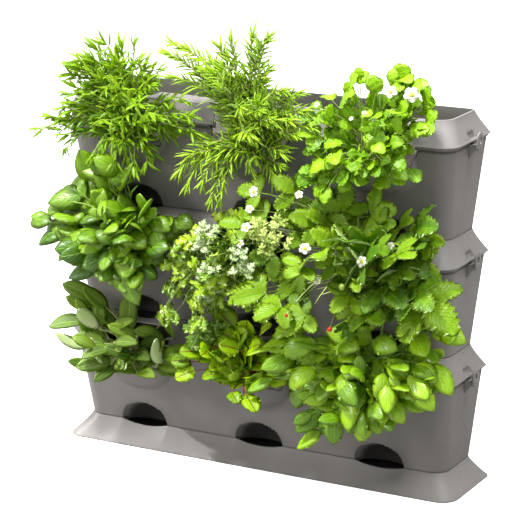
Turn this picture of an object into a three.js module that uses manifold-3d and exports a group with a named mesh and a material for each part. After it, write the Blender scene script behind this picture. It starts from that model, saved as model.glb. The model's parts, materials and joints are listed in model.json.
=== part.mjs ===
// A vertical planter tower: three planting troughs stand on one another on a flared base tray,
// each under a sloping cover frame whose mouths let the plants grow out of the trough's front pockets.
// Millimetres, +Z up, +Y to the back. The origin is on the floor, under the middle of the rims.
import * as THREE from "three";
import { mergeVertices } from "three/addons/utils/BufferGeometryUtils.js";
import Module from "manifold-3d";

const wasm = await Module();
wasm.setup();

// Tower
const towerWidth = 650;
const towerDepth = 140;
const wall = 2.8;
const seatGap = 0.3;
const fitClearance = 0.5;
const cutOverrun = 6;

// Neck: the smaller outline where each tier stands on the one below
const neckEndInset = 17;
const neckFrontInset = 24;
const neckRearInset = 18;
const frontRadius = 26;
const rearRadius = 9;
const frontArcSteps = 3;
const rearArcSteps = 2;

// Troughs
const troughNames = ["bottom", "middle", "top"];
const troughHeight = 139.5;
const rimInset = 2.5;
const rimFlangeWidth = 2;
const rimFlangeHeight = 3.5;
const floorThickness = 3;
const floorRise = 2;
const spigotDepth = 4;
const spigotWall = 2.5;
const seepHoleRadius = 1.8;
const seepHoleSides = 6;
const seepHolePitch = 118;
const seepHoleBack = 20;
const seepHoleCount = 5;

// Planting pockets in the trough's front, with an arch over each one below
const pocketCount = 3;
const pocketEndMargin = 62;
const mouthHalfWidth = 60;
const mouthEase = 8;
const lipSideHeight = 104;
const lipCrown = 7;
const bowlOverhang = 4;
const bowlDrop = 50;
const bowlReach = 28;
const archHalfWidth = 41;
const archHeight = 32;
const archDepth = 26;
const archShoulderShare = 0.72;
const archFade = 1;
const bowlMiddleShare = 0.42;
const bowlUpperShare = 0.71;
const leastColumnReach = 14;
const columnShares = [-1, -0.55, 0, 0.55, 1];

// Cover frames
const coverHeight = 35.9;
const coverLip = 2.4;
const coverLedge = 3;
const flarePower = 1.2;
const creaseDrop = 6.9;
const bandDepth = 14;
const creaseEase = 6.5;
const skirtWall = 2;
const skirtDepth = 6;
const rimDip = 6;
const recessHalfWidth = 11;
const recessDepth = 5;
const recessLevelShares = [0.34, 0.58];
const recessRowShares = [-1, -0.5, 0.5, 1];
const coverMouthRadius = 14;
const coverMouthSill = 2;

// Base tray
const baseHeight = 32.8;
const baseEndFlare = 23;
const baseFrontFlare = 26;
const baseRearFlare = 16;
const baseLip = 3;
const trayDraft = 2;
const trayJoinDrop = 6;
const baseSlopeShares = [0.35, 0.7];

// Eyelets on the trough's ends
const eyeletY = 4;
const eyeletThickness = 3;
const eyeletHalfWidth = 10;
const eyeletStandOff = 12;
const eyeletTop = 14;
const eyeletRoot = 12;
const eyeletGussetHeight = 24;
const eyeletHoleHalfWidth = 3;
const eyeletHoleHalfHeight = 4.5;
const eyeletHoleCentre = 2;
const gussetFootHalfWidth = 3;
const gussetFootReach = 1.5;
const arcPoints = 6;

// Soil
const soilLevel = 99;
const soilClearance = 0.4;
const soilTopClearance = 1.6;
const soilShoulder = 12;

// Plants. Their own sizes are shares of plantSpan.
const plantSpan = 100;
const crownForward = 5.5;
const crownRadius = 7.5;
const plantForward = 6;
const stemSides = 3;
const stemSteps = 3;
const goldenTurn = 2.4;

const plastic = { color: 0x7d7b79, roughness: 0.5, metalness: 0 };
const earth = { color: 0x2a1c12, roughness: 1, metalness: 0 };

const pocketPitch = (towerWidth - 2 * (pocketEndMargin + mouthHalfWidth)) / (pocketCount - 1);
const bowlHalfWidth = mouthHalfWidth + bowlOverhang;
const tierPitch = troughHeight + coverHeight + 2 * seatGap;
const firstTier = baseHeight + seatGap;
const coverCrease = coverHeight - creaseDrop;
const bowlBottom = lipSideHeight - bowlDrop;
const bowlMiddle = bowlBottom + bowlMiddleShare * bowlDrop;
const bowlUpper = bowlBottom + bowlUpperShare * bowlDrop;
const flangeBottom = troughHeight - rimFlangeHeight;
const lipSize = { half: towerWidth / 2, front: -towerDepth / 2, rear: towerDepth / 2, shrink: 0 };
const neckSize = grown(lipSize, -neckEndInset, -neckFrontInset, -neckRearInset);
const baseSize = grown(neckSize, baseEndFlare, baseFrontFlare, baseRearFlare);
const crownY = lipSize.front - crownForward;
const plantClearY = lipSize.front - plantForward;
const rimSize = inset(lipSize, rimInset + rimFlangeWidth);
const footSize = inset(neckSize, fitClearance);
const pocketCentres = Array.from(
  { length: pocketCount },
  (_, i) => (i - (pocketCount - 1) / 2) * pocketPitch,
);

// An outline's half length, front and rear, and how much smaller its corner radii are than the rim's
function grown(size, end, front, rear) {
  return { ...size, half: size.half + end, front: size.front - front, rear: size.rear + rear };
}

function inset(size, by) {
  return { ...grown(size, -by, -by, -by), shrink: size.shrink + by };
}

function blend(a, b, share) {
  const mixed = Object.keys(a).map((key) => [key, a[key] + (b[key] - a[key]) * share]);
  return Object.fromEntries(mixed);
}

// How far x lies from the middle of the nearest pocket
function offPocket(x) {
  return Math.min(...pocketCentres.map((c) => Math.abs(x - c)));
}

// One level of a moulded wall seen from above, anticlockwise from the left end:
// a rounded rectangle with the given columns on its front side and rows on its ends
function plan(size, columns, rows = []) {
  const radius = Math.max(frontRadius - size.shrink, wall);
  const backRadius = Math.max(rearRadius - size.shrink, wall);
  const points = [];
  const arc = (x, y, r, from, steps) => {
    for (let i = 0; i <= steps; i++) {
      const turn = from + ((i / steps) * Math.PI) / 2;
      points.push({ x: x + r * Math.cos(turn), y: y + r * Math.sin(turn), side: "corner" });
    }
  };
  arc(-size.half + radius, size.front + radius, radius, Math.PI, frontArcSteps);
  columns.forEach((x) => points.push({ x, y: size.front, side: "front" }));
  arc(size.half - radius, size.front + radius, radius, 1.5 * Math.PI, frontArcSteps);
  rows.forEach((y) => points.push({ x: size.half, y, side: "end" }));
  arc(size.half - backRadius, size.rear - backRadius, backRadius, 0, rearArcSteps);
  arc(-size.half + backRadius, size.rear - backRadius, backRadius, Math.PI / 2, rearArcSteps);
  [...rows].reverse().forEach((y) => points.push({ x: -size.half, y, side: "end" }));
  return points;
}

// Joins rings of equal count into a closed skin: capped at both ends, or round in a loop.
// Each four-sided face is split the same way on both sides of a wall.
function loft(rings, loop = false) {
  const count = rings[0].length;
  const index = [];
  const joins = loop ? rings.length : rings.length - 1;
  for (let r = 0; r < joins; r++) {
    const above = rings[(r + 1) % rings.length];
    const next = rings.indexOf(above) * count;
    const rising = above[0].z >= rings[r][0].z;
    for (let i = 0; i < count; i++) {
      const j = (i + 1) % count;
      const [a, b, c, d] = [r * count + i, r * count + j, next + j, next + i];
      if (rising) index.push(a, b, c, a, c, d);
      else index.push(a, b, d, b, c, d);
    }
  }
  const cap = (ring, start, flip) => {
    const outline = ring.map((p) => new THREE.Vector2(p.x, p.y));
    for (const [a, b, c] of THREE.ShapeUtils.triangulateShape(outline, [])) {
      index.push(start + a, start + (flip ? c : b), start + (flip ? b : c));
    }
  };
  if (!loop) {
    cap(rings[0], 0, true);
    cap(rings[rings.length - 1], (rings.length - 1) * count, false);
  }
  const geometry = new THREE.BufferGeometry();
  geometry.setFromPoints(rings.flat());
  geometry.setIndex(index);
  return geometry;
}

function solid(geometry) {
  const bare = geometry.clone();
  bare.deleteAttribute("normal");
  bare.deleteAttribute("uv");
  const merged = mergeVertices(bare);
  return new wasm.Manifold(
    new wasm.Mesh({
      numProp: 3,
      vertProperties: new Float32Array(merged.attributes.position.array),
      triVerts: new Uint32Array(merged.index.array),
    }),
  );
}

function geometryOf(made) {
  const mesh = made.getMesh();
  const geometry = new THREE.BufferGeometry();
  geometry.setAttribute("position", new THREE.BufferAttribute(mesh.vertProperties, 3));
  geometry.setIndex(new THREE.BufferAttribute(mesh.triVerts, 1));
  return geometry;
}

function named(name, geometry, look, z = 0) {
  const mesh = new THREE.Mesh(geometry, new THREE.MeshStandardMaterial(look));
  mesh.name = name;
  mesh.position.z = z;
  return mesh;
}

// Pocket shape

function archEdge(z) {
  return z >= archHeight ? 0 : archHalfWidth * Math.sqrt(1 - (Math.max(z, 0) / archHeight) ** 2);
}

function bowlEdge(z) {
  const below = (lipSideHeight - z) / bowlDrop;
  return below >= 1 ? 0 : bowlHalfWidth * Math.sqrt(1 - Math.max(below, 0) ** 2);
}

// Forward push of the front wall: out in the bowl under each pocket, in at the arch
function frontPush(x, z) {
  const off = offPocket(x);
  const below = Math.max((lipSideHeight - z) / bowlDrop, 0);
  const bowl = 1 - (off / bowlHalfWidth) ** 2 - below ** 2;
  const arch = 1 - (off / archHalfWidth) ** 2 - (Math.max(z, 0) / archHeight) ** 2;
  const out = bowl > 0 ? bowlReach * Math.sqrt(bowl) : 0;
  const back = arch > 0 ? archDepth * Math.sqrt(arch) : 0;
  return out - back;
}

// Columns of the front wall at one level: they follow the edges of the arch and the bowl
function wallColumns(z) {
  const reach = Math.min(
    Math.max(archEdge(z), bowlEdge(z) - mouthEase, leastColumnReach),
    mouthHalfWidth - mouthEase,
  );
  const edge = mouthHalfWidth + mouthEase;
  return pocketCentres.flatMap((c) => [
    c - edge,
    c - mouthHalfWidth,
    ...columnShares.map((share) => c + share * reach),
    c + mouthHalfWidth,
    c + edge,
  ]);
}

// The levels above the bowl close up at each mouth, so that the rim dips to the pocket's lip
function mouthLevel(x, z) {
  const off = offPocket(x);
  const squeeze = Math.max((z - bowlUpper) / (troughHeight - bowlUpper), 0);
  const lip = lipSideHeight + lipCrown * (1 - (off / mouthHalfWidth) ** 2);
  const open = off < mouthHalfWidth + mouthEase / 2 ? 1 : 0;
  return z - open * squeeze * (troughHeight - lip);
}

// One level of the trough's wall, inset from its outer face
function troughRing(z, by, level = z) {
  const size = blend(footSize, rimSize, Math.max(z, 0) / troughHeight);
  return plan(inset(size, by), wallColumns(z)).map(({ x, y, side }) => {
    if (side !== "front") return new THREE.Vector3(x, y, level);
    const drop = mouthLevel(x, z) - z;
    const front = blend(footSize, rimSize, Math.max(z + drop, 0) / troughHeight).front + by;
    return new THREE.Vector3(x, front - frontPush(x, z + drop), level + drop);
  });
}

// Trough: underside recess, spigot, outer wall, rim flange, inner wall and floor
function trough(name, z) {
  const spigot = wall + fitClearance;
  const lowLevels = [archShoulderShare * archHeight, archHeight + archFade, bowlBottom];
  const rings = [
    troughRing(0, spigot + spigotWall, floorRise - floorThickness),
    troughRing(0, spigot + spigotWall, -spigotDepth),
    troughRing(0, spigot, -spigotDepth),
    troughRing(0, spigot),
    ...[0, ...lowLevels, bowlMiddle, bowlUpper, flangeBottom].map((at) => troughRing(at, 0)),
    troughRing(flangeBottom, -rimFlangeWidth),
    troughRing(troughHeight, -rimFlangeWidth),
    ...[troughHeight, bowlUpper, ...lowLevels.reverse(), floorRise].map((at) =>
      troughRing(at, wall),
    ),
  ];
  let made = solid(loft(rings));
  for (let i = 0; i < seepHoleCount; i++) {
    const depth = floorThickness + cutOverrun;
    const hole = new THREE.CylinderGeometry(seepHoleRadius, seepHoleRadius, depth, seepHoleSides);
    hole.rotateX(Math.PI / 2);
    const x = (i - (seepHoleCount - 1) / 2) * seepHolePitch;
    hole.translate(x, seepHoleBack, floorRise - floorThickness / 2);
    made = made.subtract(solid(hole));
  }
  return named(name, geometryOf(made), plastic, z);
}

// Soil: a block behind the arches that widens to fill the pockets above them
function soilRing(z, by, setBack) {
  const size = inset(blend(footSize, rimSize, z / troughHeight), by);
  return plan(size, wallColumns(z)).map(({ x, y, side }) => {
    if (side !== "front") return new THREE.Vector3(x, Math.max(y, size.front + setBack), z);
    const push = offPocket(x) < mouthHalfWidth - seatGap ? Math.max(frontPush(x, z), 0) : 0;
    return new THREE.Vector3(x, size.front + setBack - (setBack ? 0 : push), z);
  });
}

function soil(name, z) {
  const by = wall + soilClearance;
  const setBack = archDepth + soilClearance;
  const shoulder = archHeight + soilShoulder;
  const rings = [
    soilRing(floorRise + soilClearance, by, setBack),
    soilRing(archHeight, by, setBack),
    soilRing(shoulder, by, 0),
    soilRing(bowlBottom, by, 0),
    soilRing(bowlUpper, by, 0),
    soilRing(soilLevel, wall + soilTopClearance, 0),
  ];
  return named(name, loft(rings), earth, z);
}

// Columns of a rim that dips under each arch, with the crease's ends beyond the pockets
function rimColumns(size) {
  const arcStart = size.half - frontRadius - seatGap;
  const creaseEnd = neckSize.half - frontRadius - creaseEase;
  const dips = pocketCentres.flatMap((c) => columnShares.map((share) => c + share * archHalfWidth));
  return [-arcStart, -creaseEnd, ...dips, creaseEnd, arcStart];
}

function dipAt(x) {
  return rimDip * Math.max(1 - (offPocket(x) / archHalfWidth) ** 2, 0);
}

// One level of a cover: a hollow flare whose front stands nearly upright under a flat band
function coverRing(z, by, flat = false) {
  const share = Math.min(Math.max((z - coverLip) / (coverHeight - coverLip), 0), 1);
  const flare = flat ? 0 : 1 - (1 - share) ** flarePower;
  const size = blend(lipSize, neckSize, flare);
  const band = Math.max(z - coverCrease, 0) / creaseDrop;
  const creaseFront = neckSize.front - bandDepth;
  const panel = (creaseFront - lipSize.front) * Math.min(Math.max(z, 0) / coverCrease, 1);
  const front = lipSize.front + panel + band * bandDepth;
  const creaseEnd = neckSize.half - frontRadius - creaseEase / 2;
  const rows = recessRowShares.map((share) => eyeletY + share * recessHalfWidth);
  const inRecess = Math.abs(z - recessLevelShares[0] * coverHeight) < coverLip;
  return plan(inset(size, by), rimColumns(size), rows).map(({ x, y, side }) => {
    if (side === "end" && inRecess && Math.abs(y - eyeletY) < recessHalfWidth - seatGap) {
      return new THREE.Vector3(x - Math.sign(x) * recessDepth, y, z);
    }
    if (side !== "front") return new THREE.Vector3(x, y, z);
    const creased = !flat && Math.abs(x) < creaseEnd;
    return new THREE.Vector3(x, creased ? front + by : y, z - band * dipAt(x));
  });
}

// Cutter for one planting mouth, an upright slot with round top corners, open below
function mouthCutter(centre) {
  const bendX = mouthHalfWidth - coverMouthRadius;
  const bendLevel = coverCrease - coverMouthSill - coverMouthRadius;
  const shape = new THREE.Shape();
  shape.moveTo(-mouthHalfWidth, -skirtDepth - cutOverrun);
  shape.lineTo(mouthHalfWidth, -skirtDepth - cutOverrun);
  shape.lineTo(mouthHalfWidth, bendLevel);
  shape.absarc(bendX, bendLevel, coverMouthRadius, 0, Math.PI / 2);
  shape.absarc(-bendX, bendLevel, coverMouthRadius, Math.PI / 2, Math.PI);
  const deep = neckFrontInset + cutOverrun;
  const cutter = new THREE.ExtrudeGeometry(shape, {
    depth: deep + cutOverrun,
    bevelEnabled: false,
    curveSegments: 2,
  });
  cutter.rotateX(Math.PI / 2);
  cutter.translate(centre, lipSize.front + deep, 0);
  return solid(cutter);
}

function cover(name, z) {
  const skirt = rimInset + rimFlangeWidth + wall + fitClearance;
  const skirtTaper = (neckFrontInset * skirtDepth) / troughHeight;
  const [recess, recessTop] = recessLevelShares.map((share) => share * coverHeight);
  const rings = [
    coverRing(0, 0, true),
    ...[coverLip, recess, recessTop, coverCrease, coverHeight].map((at) => coverRing(at, 0)),
    ...[coverHeight, coverCrease, recess, coverLedge].map((at) => coverRing(at, wall)),
    coverRing(coverLedge, skirt + skirtWall, true),
    coverRing(-skirtDepth, skirt + skirtTaper + skirtWall, true),
    coverRing(-skirtDepth, skirt + skirtTaper, true),
    coverRing(0, skirt, true),
  ];
  let made = solid(loft(rings, true));
  for (const centre of pocketCentres) made = made.subtract(mouthCutter(centre));
  return named(name, geometryOf(made), plastic, z);
}

// Base tray: a flat floor and upright walls inside a flared skirt that is hollow underneath
function baseRing(z, by, flare, dipShare = 0) {
  const size = blend(neckSize, baseSize, flare);
  return plan(inset(size, by), rimColumns(size)).map(({ x, y, side }) => {
    const dip = side === "front" ? dipShare * dipAt(x) : 0;
    return new THREE.Vector3(x, y, z - dip);
  });
}

function base(name) {
  const slope = baseSlopeShares.map((share) => {
    const z = baseLip + (baseHeight - baseLip) * share;
    return baseRing(z, 0, (1 - share) ** flarePower, share ** 2);
  });
  const rings = [
    baseRing(0, trayDraft, 0),
    baseRing(baseHeight - rimDip - trayJoinDrop, seatGap, 0),
    baseRing(0, wall, 1),
    baseRing(0, 0, 1),
    baseRing(baseLip, 0, 1),
    ...slope,
    baseRing(baseHeight, 0, 0, 1),
    baseRing(baseHeight, wall, 0, 1),
    baseRing(baseLip, wall + trayDraft, 0),
  ];
  return named(name, loft(rings), plastic);
}

// Eyelet: an upright tongue beside the rim with a slot through it, carried by a tapering gusset
function eyelet(name, side, z) {
  const wallAt = (drop) => blend(footSize, rimSize, 1 - drop / troughHeight).half + seatGap;
  const outer = wallAt(0) + eyeletStandOff + eyeletThickness;
  const shape = new THREE.Shape();
  shape.moveTo(-eyeletHalfWidth, -eyeletRoot);
  shape.lineTo(eyeletHalfWidth, -eyeletRoot);
  shape.absarc(0, eyeletTop - eyeletHalfWidth, eyeletHalfWidth, 0, Math.PI);
  const slot = new THREE.Path();
  slot.moveTo(-eyeletHoleHalfWidth, eyeletHoleCentre - eyeletHoleHalfHeight);
  slot.lineTo(eyeletHoleHalfWidth, eyeletHoleCentre - eyeletHoleHalfHeight);
  slot.lineTo(eyeletHoleHalfWidth, eyeletHoleCentre + eyeletHoleHalfHeight);
  slot.lineTo(-eyeletHoleHalfWidth, eyeletHoleCentre + eyeletHoleHalfHeight);
  shape.holes.push(slot);
  const tongue = new THREE.ExtrudeGeometry(shape, {
    depth: eyeletThickness,
    bevelEnabled: false,
    curveSegments: arcPoints,
  });
  tongue.rotateX(Math.PI / 2);
  tongue.rotateZ(Math.PI / 2);
  tongue.translate(outer - eyeletThickness, 0, 0);
  const level = (drop, halfWidth, reach) => {
    const x = wallAt(drop);
    const places = [
      [x, -halfWidth],
      [x + reach / 2, -halfWidth],
      [x + reach, -halfWidth / 2],
      [x + reach, halfWidth / 2],
      [x + reach / 2, halfWidth],
      [x, halfWidth],
    ];
    return places.map(([px, py]) => new THREE.Vector3(px, py, -drop));
  };
  const top = rimFlangeHeight + seatGap;
  const gusset = loft([
    level(top + eyeletGussetHeight, gussetFootHalfWidth, gussetFootReach),
    level(top, eyeletHalfWidth, outer - wallAt(top)),
  ]);
  const mesh = named(name, geometryOf(solid(tongue).add(solid(gusset))), plastic, z);
  mesh.rotation.z = side < 0 ? Math.PI : 0;
  mesh.position.y = eyeletY;
  return mesh;
}

// Plants. Each stem leaves the crown, rises over the pocket's lip and bends to its tip.
// A tip's shares are across of spread, forward of lean, and up of rise or down of drop.

function span(share) {
  return share * plantSpan;
}

function stemCurve(crown, plant, [across, forward, height]) {
  const reach = new THREE.Vector3(
    across * span(plant.spreadShare),
    -forward * span(plant.leanShare),
    height * (height > 0 ? span(plant.riseShare) : span(plant.dropShare)),
  );
  const tip = crown.clone().add(reach);
  const bend = crown.clone();
  bend.x += reach.x * plant.bendShare;
  bend.y += reach.y * plant.bendShare;
  bend.z += Math.max(reach.z * (1 - plant.bendShare), span(plant.archShare)) + crownRadius;
  return new THREE.QuadraticBezierCurve3(crown, bend, tip);
}

function stem(curve, radius) {
  const shape = new THREE.Shape();
  for (let i = 0; i < stemSides; i++) {
    const turn = (i / stemSides) * 2 * Math.PI;
    const corner = [radius * Math.cos(turn), radius * Math.sin(turn)];
    if (i) shape.lineTo(...corner);
    else shape.moveTo(...corner);
  }
  return new THREE.ExtrudeGeometry(shape, { steps: stemSteps, extrudePath: curve });
}

// A point on the middle line of the stem's straight pieces
function onStem(curve, share) {
  const step = Math.min(Math.floor(share * stemSteps), stemSteps - 1);
  const from = curve.getPointAt(step / stemSteps);
  return from.lerp(curve.getPointAt((step + 1) / stemSteps), share * stemSteps - step);
}

// A leaf: a kite folded along its midrib, which runs from the stem to the tip
function leaf(root, along, facing, plant) {
  const across = new THREE.Vector3().crossVectors(facing, along).normalize();
  const up = new THREE.Vector3().crossVectors(along, across).normalize();
  const middle = root.clone().addScaledVector(along, span(plant.leafLengthShare) * plant.leafWaistShare);
  middle.addScaledVector(up, -span(plant.leafThicknessShare));
  const corners = [
    root,
    root.clone().addScaledVector(along, span(plant.leafLengthShare)),
    middle.clone().addScaledVector(across, span(plant.leafWidthShare) / 2),
    middle.clone().addScaledVector(across, -span(plant.leafWidthShare) / 2),
  ];
  const geometry = new THREE.BufferGeometry().setFromPoints(corners);
  geometry.setIndex([0, 1, 2, 0, 3, 1, 1, 3, 2, 0, 2, 3]);
  return solid(geometry);
}

function plantBody(name, plant, z) {
  const crown = new THREE.Vector3(plant.pocket * pocketPitch, crownY, soilLevel + crownRadius);
  const ball = new THREE.OctahedronGeometry(crownRadius - seatGap);
  ball.translate(crown.x, crown.y, crown.z);
  let made = solid(ball);
  plant.tipShares.forEach((tip, number) => {
    const curve = stemCurve(crown, plant, tip);
    made = made.add(solid(stem(curve, span(plant.stemRadiusShare))));
    for (let i = 0; i < plant.leaves; i++) {
      const last = i === plant.leaves - 1;
      const share = plant.leafFromShare + ((1 - plant.leafFromShare) * i) / (plant.leaves - 1);
      const root = onStem(curve, last ? 1 - plant.stemRadiusShare / plant.leafLengthShare : share);
      const along = curve.getTangentAt(share);
      const facing = new THREE.Vector3(0, -1, 1).normalize();
      const sideways = new THREE.Vector3().crossVectors(along, facing).normalize();
      const turn = (number * plant.leaves + i) * goldenTurn;
      const out = sideways.multiplyScalar(Math.sign(Math.sin(turn)) || 1);
      out.addScaledVector(facing, Math.cos(turn) / 2);
      if (!last) along.multiplyScalar(1 - plant.leafTurnShare).addScaledVector(out, plant.leafTurnShare);
      along.normalize();
      if (root.y + along.y * span(plant.leafLengthShare) > plantClearY) along.y = -Math.abs(along.y);
      made = made.add(leaf(root, along.normalize(), facing, plant));
    }
  });
  return named(name, geometryOf(made), plant.look, z);
}

const plants = [
  {
    name: "sage_plant",
    tier: 0,
    pocket: -1,
    spreadShare: 0.88,
    leanShare: 0.52,
    riseShare: 0.88,
    dropShare: 0.12,
    archShare: 0.16,
    bendShare: 0.4,
    stemRadiusShare: 0.02,
    leaves: 4,
    leafFromShare: 0.45,
    leafTurnShare: 0.55,
    leafLengthShare: 0.52,
    leafWidthShare: 0.22,
    leafThicknessShare: 0.024,
    leafWaistShare: 0.5,
    look: { color: 0x6f8a52, roughness: 0.8, metalness: 0 },
    tipShares: [
      [-1, 0.5, 0.5],
      [-0.7, 0.9, 0.1],
      [-0.45, 0.6, 1],
      [0, 0.9, 0.5],
      [0.35, 0.6, 0.95],
      [0.8, 0.6, 0.55],
      [0.7, 0.9, 0.15],
    ],
  },
  {
    name: "sorrel_plant",
    tier: 0,
    pocket: 0,
    spreadShare: 0.7,
    leanShare: 0.46,
    riseShare: 0.92,
    dropShare: 0.14,
    archShare: 0.14,
    bendShare: 0.4,
    stemRadiusShare: 0.016,
    leaves: 4,
    leafFromShare: 0.45,
    leafTurnShare: 0.55,
    leafLengthShare: 0.34,
    leafWidthShare: 0.22,
    leafThicknessShare: 0.02,
    leafWaistShare: 0.5,
    look: { color: 0x7fae1c, roughness: 0.5, metalness: 0 },
    tipShares: [
      [-1, 0.7, 0.2],
      [-0.7, 0.5, 0.7],
      [-0.25, 0.5, 1],
      [-0.3, 1, -0.5],
      [0.25, 0.9, 0.5],
      [0.6, 0.5, 0.9],
      [0.85, 0.8, 0.1],
    ],
  },
  {
    name: "broad_basil_plant",
    tier: 0,
    pocket: 1,
    spreadShare: 1.12,
    leanShare: 0.7,
    riseShare: 0.92,
    dropShare: 0.28,
    archShare: 0.29,
    bendShare: 0.45,
    stemRadiusShare: 0.022,
    leaves: 4,
    leafFromShare: 0.4,
    leafTurnShare: 0.55,
    leafLengthShare: 0.44,
    leafWidthShare: 0.27,
    leafThicknessShare: 0.024,
    leafWaistShare: 0.45,
    look: { color: 0x4c9a1e, roughness: 0.35, metalness: 0 },
    tipShares: [
      [-1, 0.8, 0.1],
      [-0.75, 0.6, 0.7],
      [-0.3, 0.7, 1],
      [-0.25, 1, -0.3],
      [0.2, 1, 0.4],
      [0.45, 0.6, 0.95],
      [0.75, 0.9, 0.2],
      [1.05, 0.6, 0.6],
    ],
  },
  {
    name: "cupped_basil_plant",
    tier: 1,
    pocket: -1,
    spreadShare: 1.08,
    leanShare: 0.62,
    riseShare: 1.12,
    dropShare: 0.22,
    archShare: 0.24,
    bendShare: 0.4,
    stemRadiusShare: 0.022,
    leaves: 4,
    leafFromShare: 0.42,
    leafTurnShare: 0.5,
    leafLengthShare: 0.42,
    leafWidthShare: 0.25,
    leafThicknessShare: 0.024,
    leafWaistShare: 0.45,
    look: { color: 0x458f1f, roughness: 0.35, metalness: 0 },
    tipShares: [
      [-1.05, 0.7, 0.35],
      [-0.8, 0.6, 0.8],
      [-0.35, 0.7, 1],
      [-0.55, 1, -0.5],
      [0, 1, 0.5],
      [0.3, 0.7, 0.9],
      [0.55, 1, 0],
      [0.85, 0.6, 0.5],
    ],
  },
  {
    name: "parsley_plant",
    tier: 1,
    pocket: 0,
    spreadShare: 0.84,
    leanShare: 0.56,
    riseShare: 0.98,
    dropShare: 0.4,
    archShare: 0.32,
    bendShare: 0.4,
    stemRadiusShare: 0.016,
    leaves: 4,
    leafFromShare: 0.4,
    leafTurnShare: 0.6,
    leafLengthShare: 0.3,
    leafWidthShare: 0.22,
    leafThicknessShare: 0.018,
    leafWaistShare: 0.55,
    look: { color: 0x6fa838, roughness: 0.6, metalness: 0 },
    tipShares: [
      [-1, 0.8, 0.2],
      [-0.75, 0.6, 0.7],
      [-0.3, 0.6, 1],
      [-0.4, 1, -0.8],
      [0.1, 1, 0.3],
      [0.4, 0.7, 0.8],
      [0.5, 1, -0.6],
      [0.8, 0.7, 0.3],
    ],
  },
  {
    name: "strawberry_plant",
    tier: 1,
    pocket: 1,
    spreadShare: 1.18,
    leanShare: 0.84,
    riseShare: 1.04,
    dropShare: 0.5,
    archShare: 0.37,
    bendShare: 0.45,
    stemRadiusShare: 0.018,
    leaves: 4,
    leafFromShare: 0.5,
    leafTurnShare: 0.6,
    leafLengthShare: 0.42,
    leafWidthShare: 0.31,
    leafThicknessShare: 0.02,
    leafWaistShare: 0.55,
    look: { color: 0x5f9f2c, roughness: 0.5, metalness: 0 },
    tipShares: [
      [-1.35, 1, 0.25],
      [-1, 0.8, 0.75],
      [-0.5, 1, -0.6],
      [-0.35, 0.8, 1],
      [0.05, 1, 0.45],
      [0.3, 0.8, 0.9],
      [0.5, 1, -0.2],
      [0.85, 0.7, 0.35],
    ],
  },
  {
    name: "tarragon_plant",
    tier: 2,
    pocket: -1,
    spreadShare: 1.18,
    leanShare: 0.58,
    riseShare: 1.42,
    dropShare: 0.12,
    archShare: 0.26,
    bendShare: 0.35,
    stemRadiusShare: 0.015,
    leaves: 3,
    leafFromShare: 0.4,
    leafTurnShare: 0.55,
    leafLengthShare: 0.36,
    leafWidthShare: 0.07,
    leafThicknessShare: 0.018,
    leafWaistShare: 0.5,
    look: { color: 0x5d9a2a, roughness: 0.5, metalness: 0 },
    tipShares: [
      [-1.05, 0.7, 0.2],
      [-0.9, 0.5, 0.65],
      [-0.55, 0.3, 0.95],
      [-0.2, 0.6, 1],
      [-0.1, 1, 0.4],
      [0.2, 0.4, 0.9],
      [0.5, 0.6, 0.7],
      [0.75, 0.9, 0.25],
      [-0.5, 1, -0.4],
      [0.3, 1, -0.5],
    ],
  },
  {
    name: "rosemary_plant",
    tier: 2,
    pocket: 0,
    spreadShare: 0.92,
    leanShare: 0.6,
    riseShare: 1.66,
    dropShare: 0.4,
    archShare: 0.26,
    bendShare: 0.35,
    stemRadiusShare: 0.018,
    leaves: 3,
    leafFromShare: 0.35,
    leafTurnShare: 0.6,
    leafLengthShare: 0.26,
    leafWidthShare: 0.05,
    leafThicknessShare: 0.018,
    leafWaistShare: 0.5,
    look: { color: 0x5c7f38, roughness: 0.6, metalness: 0 },
    tipShares: [
      [-1, 0.5, 0.85],
      [-0.75, 0.9, -0.2],
      [-0.45, 0.4, 0.7],
      [-0.1, 0.6, 0.95],
      [0.3, 0.5, 1],
      [0.6, 0.6, 0.75],
      [0.95, 0.6, 0.5],
      [-0.35, 1, -0.6],
      [0.2, 1, 0.3],
      [0.1, 1, -0.5],
    ],
  },
  {
    name: "round_leaf_plant",
    tier: 2,
    pocket: 1,
    spreadShare: 0.88,
    leanShare: 0.7,
    riseShare: 1.22,
    dropShare: 0.34,
    archShare: 0.32,
    bendShare: 0.4,
    stemRadiusShare: 0.015,
    leaves: 3,
    leafFromShare: 0.45,
    leafTurnShare: 0.6,
    leafLengthShare: 0.26,
    leafWidthShare: 0.24,
    leafThicknessShare: 0.018,
    leafWaistShare: 0.55,
    look: { color: 0x79b52a, roughness: 0.45, metalness: 0 },
    tipShares: [
      [-0.85, 0.7, 0.55],
      [-0.5, 0.5, 0.9],
      [0, 0.6, 1],
      [0.45, 0.6, 0.95],
      [0.85, 0.6, 0.7],
      [-0.6, 1, -0.3],
      [0.05, 1, 0.3],
      [0.3, 1, -0.7],
      [0.75, 0.9, 0.05],
    ],
  },
];

// Assembly: the base, then each tier's trough, eyelets, soil, plants and cover
const tower = new THREE.Group();
tower.add(base("base_tray"));
troughNames.forEach((level, tier) => {
  const z = firstTier + tier * tierPitch;
  tower.add(trough(`trough_${level}`, z));
  tower.add(soil(`soil_${level}`, z));
  tower.add(eyelet(`eyelet_left_${level}`, -1, z + troughHeight));
  tower.add(eyelet(`eyelet_right_${level}`, 1, z + troughHeight));
  tower.add(cover(`cover_${level}`, z + troughHeight + seatGap));
  for (const plant of plants.filter((one) => one.tier === tier)) {
    tower.add(plantBody(plant.name, plant, z));
  }
});

export default tower;
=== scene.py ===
import json
import math
import random

import bpy
from mathutils import Matrix, Vector, noise

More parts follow.
